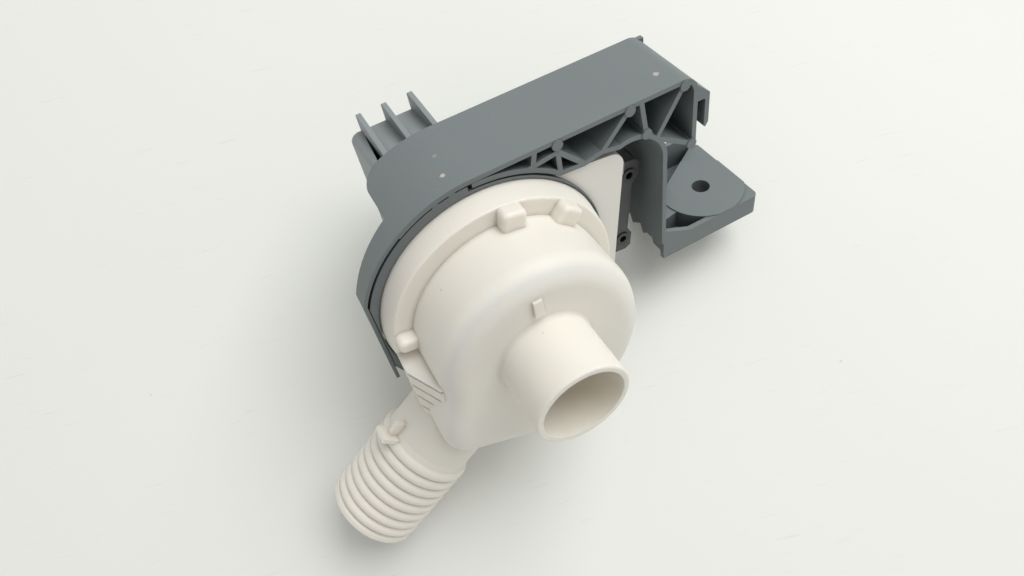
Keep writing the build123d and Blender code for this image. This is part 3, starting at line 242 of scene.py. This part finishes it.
def fleck_group():
    """One spot with a ragged edge, as a mask."""
    tree, into, out = new_group(
        "fleck",
        [("Place", VECTOR, (0.0, 0.0, 0.0)), ("Radius", FLOAT, FLECK_R)],
        [("Fleck", FLOAT)])
    place = object_place(tree)
    reach = add(tree, "ShaderNodeVectorMath", {0: place, 1: into.outputs["Place"]},
                operation="DISTANCE").outputs["Value"]
    ragged = add(tree, "ShaderNodeTexNoise",
                 {"Vector": place, "Scale": FLECK_NOISE_SCALE, "Detail": 2.0}).outputs["Fac"]
    bent = calc(tree, "ADD", calc(tree, "DIVIDE", reach, into.outputs["Radius"]), ragged)
    mask = add(tree, "ShaderNodeMapRange",
               {"Value": bent, "From Min": FLECK_OUTSIDE, "From Max": FLECK_INSIDE})
    tree.links.new(mask.outputs[0], out.inputs["Fleck"])
    return tree


FLECK = fleck_group()
print("group", FLECK.name)

# %% [markdown]
# Painted shade in crevices: the colour is darkened in inner corners, where shade falls.
# Ambient occlusion measures how closed in a point is, over a few millimetres, as a mask.

# %% Group: painted shade in crevices
SHADE_REACH = 0.004
SHADE_STRENGTH = 0.4


def painted_shade_group():
    """A mask of painted shade that grows where a point is closed in."""
    tree, into, out = new_group(
        "painted_shade", [("Reach", FLOAT, SHADE_REACH), ("Strength", FLOAT, SHADE_STRENGTH)],
        [("Painted Shade", FLOAT)])
    opened = add(tree, "ShaderNodeAmbientOcclusion", {"Distance": into.outputs["Reach"]},
                 samples=4).outputs["AO"]
    closed = calc(tree, "SUBTRACT", 1.0, opened)
    painted_shade_share = calc(tree, "MULTIPLY", closed, into.outputs["Strength"], clamp=True)
    tree.links.new(painted_shade_share, out.inputs["Painted Shade"])
    return tree


PAINTED_SHADE = painted_shade_group()
print("group", PAINTED_SHADE.name)

# %% [markdown]
# Materials in code. These helpers start a material, place a shared group in it,
# weaken a mask and mix two colours by a mask.

# %% Material helpers
def new_material(name):
    """A new material; gives it, its node tree and its Principled shader."""
    material = bpy.data.materials.new(name)
    material.use_nodes = True
    return material, material.node_tree, material.node_tree.nodes["Principled BSDF"]


def place_group(tree, group, **values):
    """Puts a shared group into a material with its own values."""
    node = add(tree, "ShaderNodeGroup", node_tree=group)
    for label, value in values.items():
        node.inputs[label.replace("_", " ")].default_value = value
    return node


def scaled(tree, socket, factor):
    """A value times a constant."""
    return calc(tree, "MULTIPLY", socket, factor)


def mix_colour(tree, share, first, second):
    """Mixes two colours, or sockets, by a share between 0 and 1."""
    first, second = [(*value, 1) if isinstance(value, tuple) else value
                     for value in (first, second)]
    return add(tree, "ShaderNodeMix", {"Factor": share, 6: first, 7: second},
               data_type="RGBA").outputs[2]


# %% [markdown]
# One recipe for all the moulded plastics. The base colour is shifted by the clouds,
# paled on edges, by wear and a painted highlight, and on specks, and darkened in crevices
# as painted shade; the roughness follows the grain and the scuffs; the grain is bump on
# the rounded normal. Each plastic gives its four tones, which are its own, its clouds',
# its edges' and its painted shade's, and amounts.

# %% Recipe: moulded plastic
CLOUD_SHARE = 0.6
GRAIN_ROUGHNESS = 0.25
GRAIN_MEAN_ROUGHNESS = 0.12
SCUFF_ROUGHNESS = 0.12


def moulded_plastic(name, tones, roughness, grain_size=GRAIN_SIZE, grain_depth=0.00001,
                    edge_highlight_and_wear_share=0.5, speck_colour=None, speck_share=0.0,
                    shade_strength=SHADE_STRENGTH, shade_reach=SHADE_REACH, coat=0.0, flecks=()):
    """A moulded plastic with grain, clouds, paled edges (wear and painted highlight), specks,
    scuffs, flecks and painted shade in crevices.
    """
    material, tree, shader = new_material(name)
    colour, cloud_colour, edge_highlight_and_wear_colour, painted_shade_colour = tones
    skin = place_group(tree, MOULDED_SKIN, Grain_Size=grain_size)
    edge = place_group(tree, SOFT_EDGE)
    marks = place_group(tree, WEAR_MARKS)
    painted_shade = place_group(tree, PAINTED_SHADE, Reach=shade_reach, Strength=shade_strength)
    clouds = scaled(tree, skin.outputs["Cloud"], CLOUD_SHARE)
    tone = mix_colour(tree, clouds, colour, cloud_colour)
    # Paler edges: partly rubbed wear, partly a painted highlight.
    tone = mix_colour(tree, scaled(tree, edge.outputs["Edge"], edge_highlight_and_wear_share), tone, edge_highlight_and_wear_colour)
    tone = mix_colour(tree, scaled(tree, marks.outputs["Specks"], speck_share), tone,
                      speck_colour or edge_highlight_and_wear_colour)
    for place, radius, share in flecks:
        fleck = place_group(tree, FLECK, Place=place, Radius=radius)
        tone = mix_colour(tree, scaled(tree, fleck.outputs["Fleck"], share), tone, speck_colour)
    # Painted shade: the colour is darker where the point is closed in.
    tone = mix_colour(tree, painted_shade.outputs["Painted Shade"], tone, painted_shade_colour)
    rough = scaled(tree, skin.outputs["Grain"], GRAIN_ROUGHNESS)
    rough = calc(tree, "ADD", rough, roughness - GRAIN_MEAN_ROUGHNESS)
    scuffed = scaled(tree, marks.outputs["Scuffs"], SCUFF_ROUGHNESS)
    rough = calc(tree, "ADD", scuffed, rough, clamp=True)
    bump = add(tree, "ShaderNodeBump",
               {"Strength": 1.0, "Distance": grain_depth, "Height": skin.outputs["Grain"],
                "Normal": edge.outputs["Normal"]})
    tree.links.new(tone, shader.inputs["Base Color"])
    tree.links.new(rough, shader.inputs["Roughness"])
    tree.links.new(bump.outputs[0], shader.inputs["Normal"])
    shader.inputs["Coat Weight"].default_value = coat
    return material


# %% [markdown]
# The volute. It is moulded in one from an off-white plastic, warm and slightly
# yellow, with a satin gloss that shows broad soft highlights on the round stretches.
# Light enters such a plastic a few millimetres, so a little subsurface scattering
# softens its shadows. The end plate behind it is of a plainer white.

# %% Off-white volute and white end plate
VOLUTE_TONES = (0.83, 0.80, 0.735), (0.79, 0.755, 0.68), (0.88, 0.86, 0.80), (0.42, 0.36, 0.29)
VOLUTE_SPECK = (0.35, 0.25, 0.18)
VOLUTE_DEPTH = 0.004
PLATE_TONES = (0.80, 0.79, 0.74), (0.76, 0.74, 0.68), (0.88, 0.87, 0.83), (0.30, 0.28, 0.25)


def dress(material, *names):
    """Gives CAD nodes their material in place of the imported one."""
    for name in names:
        mesh = NODES[name].data
        mesh.materials.clear()
        mesh.materials.append(material)
        print(name, "->", material.name)


# The volute's grooves are darkened over 2 mm as painted shade.
volute_plastic = moulded_plastic("volute_plastic", VOLUTE_TONES, roughness=0.50,
                                 grain_size=0.0006, shade_strength=0.65, shade_reach=0.002,
                                 speck_colour=VOLUTE_SPECK, speck_share=0.35)
plate_plastic = moulded_plastic("plate_plastic", PLATE_TONES, roughness=0.50)
volute_shader = volute_plastic.node_tree.nodes["Principled BSDF"]
volute_shader.inputs["Subsurface Weight"].default_value = 0.5
volute_shader.inputs["Subsurface Radius"].default_value = (1.0, 0.8, 0.6)
volute_shader.inputs["Subsurface Scale"].default_value = VOLUTE_DEPTH
dress(volute_plastic, "volute_housing")
dress(plate_plastic, "end_plate")

# %% [markdown]
# The grey pieces. Bracket, seat ring and shroud are a filled grey plastic: finely
# grained and nearly matt, a little blue-green in the light, with pale edges, partly
# rubbed wear and partly a painted highlight, and a few light specks on the belt. A
# fleck is a place, a radius and a share.

# %% Grey bracket, ring and shroud
GREY_EDGE_HIGHLIGHT_AND_WEAR = (0.30, 0.32, 0.32)
GREY_PAINTED_SHADE = (0.022, 0.023, 0.025)
PALE_SPECK = (0.62, 0.52, 0.44)
BRACKET_TONES = (0.172, 0.197, 0.202), (0.150, 0.171, 0.180), GREY_EDGE_HIGHLIGHT_AND_WEAR, GREY_PAINTED_SHADE
SHROUD_TONES = (0.25, 0.28, 0.29), (0.23, 0.257, 0.265), GREY_EDGE_HIGHLIGHT_AND_WEAR, GREY_PAINTED_SHADE
RING_TONES = (0.145, 0.165, 0.171), (0.125, 0.143, 0.150), (0.24, 0.26, 0.265), GREY_PAINTED_SHADE
BELT_FLECK = (-0.0066, 0.0711, 0.0518), 0.0011, 0.8
FAINT_FLECK = (-0.0048, 0.0817, 0.0520), 0.0010, 0.22
WALL_FLECK = (0.0783, 0.0722, 0.0522), 0.0013, 0.7

# The bracket is darkened over 9 mm as painted shade, which darkens its deep pockets.
bracket_plastic = moulded_plastic("bracket_plastic", BRACKET_TONES, roughness=0.55,
                                  grain_size=0.0004, grain_depth=0.000014, edge_highlight_and_wear_share=0.45,
                                  speck_colour=PALE_SPECK, speck_share=0.3,
                                  shade_strength=0.75, shade_reach=0.009,
                                  flecks=(BELT_FLECK, FAINT_FLECK, WALL_FLECK))
shroud_plastic = moulded_plastic("shroud_plastic", SHROUD_TONES, roughness=0.52, edge_highlight_and_wear_share=0.35)
# The ring's slot is darkened strongly over 1.5 mm as painted shade.
ring_plastic = moulded_plastic("ring_plastic", RING_TONES, roughness=0.50, edge_highlight_and_wear_share=0.4,
                               shade_strength=0.9, shade_reach=0.0015)
dress(bracket_plastic, "mounting_bracket")
dress(shroud_plastic, "rear_shroud")
dress(ring_plastic, "seat_ring")

# %% [markdown]
# Inner plastics. The impeller, the driver and the coil formers are seen only through
# the inlet or when the pump is taken apart, but they are made of the same kinds of
# plastic, so the same recipe serves them.

# %% Inner plastics
IMPELLER_TONES = (0.42, 0.42, 0.40), (0.37, 0.37, 0.35), (0.55, 0.55, 0.52), (0.10, 0.10, 0.09)
DOG_TONES = (0.05, 0.05, 0.052), (0.04, 0.04, 0.042), (0.12, 0.12, 0.12), (0.01, 0.01, 0.01)
BOBBIN_TONES = (0.72, 0.70, 0.62), (0.67, 0.64, 0.56), (0.80, 0.78, 0.72), (0.25, 0.23, 0.20)
CUTOUT_TONES = (0.03, 0.03, 0.031), (0.022, 0.022, 0.023), (0.10, 0.10, 0.10), (0.01, 0.01, 0.01)
WASHER_TONES = (0.60, 0.55, 0.42), (0.55, 0.50, 0.38), (0.70, 0.65, 0.52), (0.20, 0.18, 0.14)

impeller_plastic = moulded_plastic("impeller_plastic", IMPELLER_TONES, roughness=0.45)
dog_plastic = moulded_plastic("dog_plastic", DOG_TONES, roughness=0.45)
bobbin_plastic = moulded_plastic("bobbin_plastic", BOBBIN_TONES, roughness=0.50)
cutout_plastic = moulded_plastic("cutout_plastic", CUTOUT_TONES, roughness=0.35, coat=0.2)
washer_plastic = moulded_plastic("washer_plastic", WASHER_TONES, roughness=0.40)
dress(impeller_plastic, "impeller")
dress(dog_plastic, "drive_dog")
dress(bobbin_plastic, "bobbin_upper", "bobbin_lower")
dress(cutout_plastic, "thermal_cutout")
dress(washer_plastic, "front_thrust_washer", "rear_thrust_washer")

# %% [markdown]
# Rubber is nearly black and matt, and its edges are only a little paler, by wear and
# a painted highlight. Ferrite and the graphite-filled bushes are ground, so their grain
# is finer and they are glossier. The same recipe gives them all.

# %% Rubbers, ferrite and bushes
SEAL_TONES = (0.028, 0.028, 0.028), (0.022, 0.022, 0.022), (0.06, 0.06, 0.06), (0.01, 0.01, 0.01)
HOLDER_TONES = (0.035, 0.034, 0.033), (0.026, 0.026, 0.025), (0.07, 0.07, 0.07), (0.01, 0.01, 0.01)
BUFFER_TONES = (0.045, 0.044, 0.043), (0.036, 0.035, 0.034), (0.08, 0.08, 0.08), (0.01, 0.01, 0.01)
FERRITE_TONES = (0.060, 0.060, 0.062), (0.048, 0.048, 0.05), (0.14, 0.14, 0.14), (0.02, 0.02, 0.02)
BUSH_TONES = (0.09, 0.09, 0.09), (0.075, 0.075, 0.075), (0.16, 0.16, 0.16), (0.02, 0.02, 0.02)
RUBBER_EDGE_HIGHLIGHT_AND_WEAR_SHARE = 0.2
GROUND_GRAIN = 0.0002

seal_rubber = moulded_plastic("seal_rubber", SEAL_TONES, roughness=0.60,
                              grain_size=0.0003, edge_highlight_and_wear_share=RUBBER_EDGE_HIGHLIGHT_AND_WEAR_SHARE)
holder_rubber = moulded_plastic("holder_rubber", HOLDER_TONES, roughness=0.65,
                                grain_size=0.0004, edge_highlight_and_wear_share=RUBBER_EDGE_HIGHLIGHT_AND_WEAR_SHARE)
buffer_rubber = moulded_plastic("buffer_rubber", BUFFER_TONES, roughness=0.70,
                                edge_highlight_and_wear_share=RUBBER_EDGE_HIGHLIGHT_AND_WEAR_SHARE)
magnet_ferrite = moulded_plastic("magnet_ferrite", FERRITE_TONES, roughness=0.42,
                                 grain_size=GROUND_GRAIN, grain_depth=0.00002)
bush_ceramic = moulded_plastic("bush_ceramic", BUSH_TONES, roughness=0.38,
                               grain_size=GROUND_GRAIN)
dress(seal_rubber, "volute_seal")
dress(holder_rubber, "front_bush_holder", "rear_bush_holder")
dress(buffer_rubber, "dog_buffer")
dress(magnet_ferrite, "rotor_magnet")
dress(bush_ceramic, "front_bush", "rear_bush")

# %% [markdown]
# Worked metal. Screws, shaft, rivets, clip and blades are plated or ground: the
# metal shows fine lines along one direction, a slight change of tint, and painted
# shade in its crevices. The lines are a noise that is stretched thirtyfold: along
# the shaft's axis, or across it.

# %% Recipe: worked metal
LINES_ALONG_SHAFT = (9000.0, 300.0, 9000.0)
LINES_ROUND_SHAFT = (300.0, 9000.0, 300.0)
LINE_DEPTH = 0.000004
LINE_GLOSSIER = 0.08
LINE_ROUGHER = 0.10
METAL_PAINTED_SHADE = (0.05, 0.045, 0.04)
METAL_EDGE_R = 0.00015


def worked_metal(name, colour, tint, roughness, line_scale):
    """A metal with fine lines, a faint tint and painted shade in its corners."""
    material, tree, shader = new_material(name)
    stretched = add(tree, "ShaderNodeMapping", {"Vector": object_place(tree), "Scale": line_scale})
    lines = add(tree, "ShaderNodeTexNoise",
                {"Vector": stretched.outputs[0], "Scale": 1.0, "Detail": 3.0}).outputs["Fac"]
    skin = place_group(tree, MOULDED_SKIN, Grain_Size=0.0008, Cloud_Size=0.006)
    edge = place_group(tree, SOFT_EDGE, Radius=METAL_EDGE_R)
    painted_shade = place_group(tree, PAINTED_SHADE, Reach=0.002, Strength=0.5)
    tone = mix_colour(tree, skin.outputs["Cloud"], colour, tint)
    # Painted shade: the colour is darker where the point is closed in.
    tone = mix_colour(tree, painted_shade.outputs["Painted Shade"], tone, METAL_PAINTED_SHADE)
    rough = add(tree, "ShaderNodeMapRange",
                {"Value": lines, "To Min": roughness - LINE_GLOSSIER,
                 "To Max": roughness + LINE_ROUGHER})
    bump = add(tree, "ShaderNodeBump", {"Strength": 1.0, "Distance": LINE_DEPTH, "Height": lines,
                                        "Normal": edge.outputs["Normal"]})
    tree.links.new(tone, shader.inputs["Base Color"])
    tree.links.new(rough.outputs[0], shader.inputs["Roughness"])
    tree.links.new(bump.outputs[0], shader.inputs["Normal"])
    shader.inputs["Metallic"].default_value = 1.0
    return material


# %% [markdown]
# The metal pieces. The screws are plated and a little yellow, the shaft is ground
# bright, the clip is darker spring steel, the hollow rivets are as dark as the core
# they hold, and the terminal blades are pale plated brass.

# %% Screws, shaft, clip, rivets and blades
screw_steel = worked_metal("screw_steel", (0.60, 0.57, 0.50), (0.52, 0.50, 0.46),
                           roughness=0.34, line_scale=LINES_ROUND_SHAFT)
shaft_steel = worked_metal("shaft_steel", (0.66, 0.66, 0.66), (0.60, 0.60, 0.61),
                           roughness=0.20, line_scale=LINES_ROUND_SHAFT)
clip_steel = worked_metal("clip_steel", (0.34, 0.33, 0.32), (0.28, 0.28, 0.29),
                          roughness=0.35, line_scale=LINES_ALONG_SHAFT)
rivet_steel = worked_metal("rivet_steel", (0.11, 0.11, 0.118), (0.085, 0.085, 0.092),
                           roughness=0.50, line_scale=LINES_ROUND_SHAFT)
terminal_brass = worked_metal("terminal_brass", (0.70, 0.68, 0.62), (0.64, 0.60, 0.50),
                              roughness=0.28, line_scale=LINES_ALONG_SHAFT)
dress(screw_steel, "plate_screws")
dress(shaft_steel, "shaft")
dress(clip_steel, "retaining_clip")
dress(rivet_steel, "core_rivets")
dress(terminal_brass, "terminals")

# %% [markdown]
# The stator core is a stack of half-millimetre sheets, so its sides show fine lines
# across the shaft, with dark oxide between the sheets. A wave along the shaft's axis
# with the sheet's thickness draws the stack.

# %% Laminated core
SHEET = 0.0005
TURN_PER_SHEET = 2 * math.pi / SHEET
SHEET_GAP_START = 0.55
SHEET_GAP_SHARE = 0.6
SHEET_BUMP = 0.00002
CORE_COLOUR = (0.160, 0.162, 0.170)
CORE_CLOUD = (0.125, 0.125, 0.130)
CORE_GAP = (0.045, 0.042, 0.042)
CORE_PAINTED_SHADE = (0.020, 0.019, 0.019)


def laminated_steel():
    """Stacked sheets: a fine wave along the shaft, clouds of oxide and painted shade in corners."""
    material, tree, shader = new_material("core_steel")
    along = add(tree, "ShaderNodeSeparateXYZ", {0: object_place(tree)}).outputs["Y"]
    wave = calc(tree, "SINE", scaled(tree, along, TURN_PER_SHEET))
    gap = add(tree, "ShaderNodeMapRange",
              {"Value": wave, "From Min": SHEET_GAP_START, "From Max": 1.0}).outputs[0]
    skin = place_group(tree, MOULDED_SKIN, Cloud_Size=0.008)
    edge = place_group(tree, SOFT_EDGE, Radius=METAL_EDGE_R)
    painted_shade = place_group(tree, PAINTED_SHADE, Reach=0.003, Strength=0.6)
    tone = mix_colour(tree, skin.outputs["Cloud"], CORE_COLOUR, CORE_CLOUD)
    tone = mix_colour(tree, scaled(tree, gap, SHEET_GAP_SHARE), tone, CORE_GAP)
    # Painted shade: the colour is darker where the point is closed in.
    tone = mix_colour(tree, painted_shade.outputs["Painted Shade"], tone, CORE_PAINTED_SHADE)
    bump = add(tree, "ShaderNodeBump", {"Strength": 0.6, "Distance": SHEET_BUMP, "Height": wave,
                                        "Normal": edge.outputs["Normal"]})
    tree.links.new(tone, shader.inputs["Base Color"])
    tree.links.new(bump.outputs[0], shader.inputs["Normal"])
    shader.inputs["Metallic"].default_value = 0.35
    shader.inputs["Roughness"].default_value = 0.48
    return material


core_steel = laminated_steel()
dress(core_steel, "stator_core")

# %% [markdown]
# Enamelled copper. The coils are many turns of thin wire side by side. A wave along
# each coil, as fine as the wire, gives the turns their lines and their shine, and its
# troughs are painted darker as shade between the turns.

# %% Copper windings
WIRE = 0.0003
TURN_PER_WIRE = 2 * math.pi / WIRE
WIRE_BUMP = 0.00006
VALLEY_EDGE = -0.4
VALLEY_FLOOR = -1.0
COPPER_COLOUR = (0.56, 0.19, 0.07)
COPPER_CLOUD = (0.44, 0.13, 0.045)
COPPER_VALLEY_SHADE = (0.12, 0.03, 0.012)


def wound_copper():
    """Turns of enamelled wire, drawn by a fine wave along the coil's axis, with painted shade in
    the troughs between turns.
    """
    material, tree, shader = new_material("winding_copper")
    along = add(tree, "ShaderNodeSeparateXYZ", {0: object_place(tree)}).outputs["X"]
    wave = calc(tree, "SINE", scaled(tree, along, TURN_PER_WIRE))
    # The troughs of the wave are painted darker, as shade between the turns.
    painted_valley_shade = add(tree, "ShaderNodeMapRange",
                 {"Value": wave, "From Min": VALLEY_EDGE, "From Max": VALLEY_FLOOR}).outputs[0]
    skin = place_group(tree, MOULDED_SKIN, Grain_Size=0.0006, Cloud_Size=0.01)
    tone = mix_colour(tree, skin.outputs["Cloud"], COPPER_COLOUR, COPPER_CLOUD)
    tone = mix_colour(tree, painted_valley_shade, tone, COPPER_VALLEY_SHADE)
    bump = add(tree, "ShaderNodeBump", {"Strength": 0.8, "Distance": WIRE_BUMP, "Height": wave})
    tree.links.new(tone, shader.inputs["Base Color"])
    tree.links.new(bump.outputs[0], shader.inputs["Normal"])
    shader.inputs["Metallic"].default_value = 0.9
    shader.inputs["Roughness"].default_value = 0.32
    return material


winding_copper = wound_copper()
dress(winding_copper, "winding_upper", "winding_lower")

# %% [markdown]
# The surface. The pump does not stand on its long wall: it lies on the back edge of
# its finned shroud, on the corner of its foot and on the end of its outlet. Those
# three contacts give the slope of the table, and the shadow falls where it does in
# the picture. The sheet's height is that of the pump's lowest point on this slope.

# %% Table plane
REST_SHROUD = Vector((0.0104, 0.1401, -0.0340))
REST_FOOT = Vector((0.1242, 0.1072, -0.0355))
REST_OUTLET = Vector((-0.0698, 0.0594, -0.0895))
REST_NODES = ("rear_shroud", "mounting_bracket", "volute_housing")


def table_up():
    """The normal of the plane through the three contacts, on the pump's side."""
    normal = (REST_FOOT - REST_SHROUD).cross(REST_OUTLET - REST_SHROUD).normalized()
    return normal if normal.z > 0 else -normal


FLOOR_UP = table_up()
floor_level = min(vertex.co.dot(FLOOR_UP)
                  for name in REST_NODES for vertex in NODES[name].data.vertices)
print("table faces", [round(v, 3) for v in FLOOR_UP], "level", round(floor_level, 4))

# %% [markdown]
# The plain background. The world and the far part of the sheet show it to the camera
# and in reflections, while they light the pump with their own strength. Light Path
# tells which kind of ray is asking.

# %% Which rays see the background
BACKGROUND = (0.83, 0.835, 0.79)


def background_rays(tree):
    """One for a ray that shows the background: from the camera, a gloss or a clear piece."""
    rays = add(tree, "ShaderNodeLightPath").outputs
    direct = calc(tree, "MAXIMUM", rays["Is Camera Ray"], rays["Is Glossy Ray"])
    return calc(tree, "MAXIMUM", direct, rays["Is Transmission Ray"])


# %% [markdown]
# The sheet's material. It is pale matt paper, faintly uneven, with a few grey specks
# and streaks of use. Far from the pump it fades into the plain background, so that no
# edge or horizon shows. Its back is clear to the camera alone: a view from below shows
# the pump, and no light leaks up through the sheet into the shadows.

# %% Sheet material
FLOOR_COLOUR = (0.83, 0.842, 0.80)
FLOOR_SHADE = (0.81, 0.822, 0.785)
FLOOR_MARK = (0.45, 0.45, 0.42)
FLOOR_CLOUD_SCALE = 9.0
FLOOR_SCUFF_SHARE = 0.15
FLOOR_SPECK_SHARE = 0.35
FADE_START = 0.26
FADE_END = 0.60


def sheet_material():
    """Pale matt paper with faint unevenness and marks, clear to a camera behind it."""
    material, tree, shader = new_material("table_sheet")
    place = object_place(tree)
    cloud = add(tree, "ShaderNodeTexNoise",
                {"Vector": place, "Scale": FLOOR_CLOUD_SCALE, "Detail": 3.0}).outputs["Fac"]
    marks = place_group(tree, WEAR_MARKS, Spacing=0.03, Speck_Size=0.03, Scuff_Cut=0.67)
    scuffs = scaled(tree, marks.outputs["Scuffs"], FLOOR_SCUFF_SHARE)
    specks = scaled(tree, marks.outputs["Specks"], FLOOR_SPECK_SHARE)
    tone = mix_colour(tree, cloud, FLOOR_COLOUR, FLOOR_SHADE)
    tone = mix_colour(tree, scuffs, tone, FLOOR_MARK)
    tone = mix_colour(tree, specks, tone, FLOOR_MARK)
    tree.links.new(tone, shader.inputs["Base Color"])
    shader.inputs["Roughness"].default_value = 0.7
    clear = add(tree, "ShaderNodeBsdfTransparent").outputs[0]
    plain = add(tree, "ShaderNodeEmission", {"Color": (*BACKGROUND, 1), "Strength": 1.0}).outputs[0]
    distance = add(tree, "ShaderNodeVectorMath", {0: place}, operation="LENGTH").outputs["Value"]
    far = add(tree, "ShaderNodeMapRange",
              {"Value": distance, "From Min": FADE_START, "From Max": FADE_END}).outputs[0]
    behind = add(tree, "ShaderNodeNewGeometry").outputs["Backfacing"]
    camera_ray = add(tree, "ShaderNodeLightPath").outputs["Is Camera Ray"]
    seen_from_behind = calc(tree, "MULTIPLY", behind, camera_ray)
    seen_far = calc(tree, "MULTIPLY", far, background_rays(tree))
    front = add(tree, "ShaderNodeMixShader", {0: seen_far, 1: shader.outputs[0], 2: plain})
    both = add(tree, "ShaderNodeMixShader", {0: seen_from_behind, 1: front.outputs[0], 2: clear})
    tree.links.new(both.outputs[0], tree.nodes["Material Output"].inputs["Surface"])
    return material


# %% [markdown]
# The sheet itself is one square, laid on the plane of the three contacts under the
# middle of the pump, a hair below it so that the two never touch.

# %% Table sheet
FLOOR_DROP = 0.0002
FLOOR_HALF = 0.9
FLOOR_CORNERS = [(-FLOOR_HALF, -FLOOR_HALF, 0), (FLOOR_HALF, -FLOOR_HALF, 0),
                 (FLOOR_HALF, FLOOR_HALF, 0), (-FLOOR_HALF, FLOOR_HALF, 0)]


def table_sheet():
    """A square sheet on the contact plane, under the pump."""
    mesh = bpy.data.meshes.new("table_sheet")
    mesh.from_pydata(FLOOR_CORNERS, [], [(0, 1, 2, 3)])
    made = bpy.data.objects.new("table_sheet", mesh)
    bpy.context.scene.collection.objects.link(made)
    middle = (CAD_BOX[0] + CAD_BOX[1]) / 2
    below = middle + FLOOR_UP * (floor_level - FLOOR_DROP - middle.dot(FLOOR_UP))
    tilt = FLOOR_UP.to_track_quat("Z", "Y").to_matrix().to_4x4()
    made.matrix_world = Matrix.Translation(below) @ tilt
    mesh.materials.append(sheet_material())
    return made


sheet = table_sheet()
print("sheet under", [round(v, 3) for v in sheet.matrix_world.translation])

# %% [markdown]
# The light. The picture has soft daylight from above and a little from the right:
# the long wall is bright, the faces towards the inlet a shade darker, the outlet's
# neck darker still, and shadows are faint and wide. One large lamp far above gives
# the direction, and an even world gives the rest.

# %% World
WORLD_COLOUR = (1.0, 0.995, 0.98)
WORLD_STRENGTH = 0.50


def soft_world():
    """An even sky; the camera and reflections see the plain background in its place."""
    world = bpy.data.worlds.new("soft_sky")
    world.use_nodes = True
    tree = world.node_tree
    sky = tree.nodes["Background"]
    sky.inputs["Color"].default_value = (*WORLD_COLOUR, 1)
    sky.inputs["Strength"].default_value = WORLD_STRENGTH
    plain = add(tree, "ShaderNodeBackground", {"Color": (*BACKGROUND, 1), "Strength": 1.0})
    both = add(tree, "ShaderNodeMixShader",
               {0: background_rays(tree), 1: sky.outputs[0], 2: plain.outputs[0]})
    tree.links.new(both.outputs[0], tree.nodes["World Output"].inputs["Surface"])
    bpy.context.scene.world = world


soft_world()
print("world strength", WORLD_STRENGTH)

# %% [markdown]
# The lamp stands for a window: a square of 1.6 m, some two metres from the pump. Its
# size is what makes the shadows soft.

# %% Lamp
PUMP_MIDDLE = Vector((0.03, 0.06, 0.0))
WINDOW_PLACE = Vector((0.92, -0.40, 1.95))
WINDOW_SIZE = 1.6
WINDOW_POWER = 37.0
WINDOW_COLOUR = (1.0, 1.0, 0.99)


def window_light():
    """A large square lamp far above that faces the pump."""
    data = bpy.data.lights.new("window_light", "AREA")
    data.shape = "SQUARE"
    data.size = WINDOW_SIZE
    data.energy = WINDOW_POWER
    data.color = WINDOW_COLOUR
    made = bpy.data.objects.new("window_light", data)
    bpy.context.scene.collection.objects.link(made)
    made.location = WINDOW_PLACE
    made.rotation_mode = "QUATERNION"
    made.rotation_quaternion = (PUMP_MIDDLE - WINDOW_PLACE).to_track_quat("-Z", "Y")
    return made


window_light()
bpy.context.scene.view_settings.view_transform = "Standard"
print("lamp of", WINDOW_POWER, "W at", [round(v, 2) for v in WINDOW_PLACE])

# %% [markdown]
# Smooth shading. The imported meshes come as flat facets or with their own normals;
# smoothing by angle keeps the moulded edges crisp and the round faces round.

# %% Smooth round faces
SMOOTH_ANGLE = math.radians(32)


def smooth_round_faces(names):
    """Marks faces smooth where they meet at less than the smoothing angle."""
    for name in names:
        NODES[name].data.shade_smooth()
        NODES[name].data.set_sharp_from_angle(angle=SMOOTH_ANGLE)


smooth_round_faces(NODES)
print("smoothed", len(NODES), "nodes")
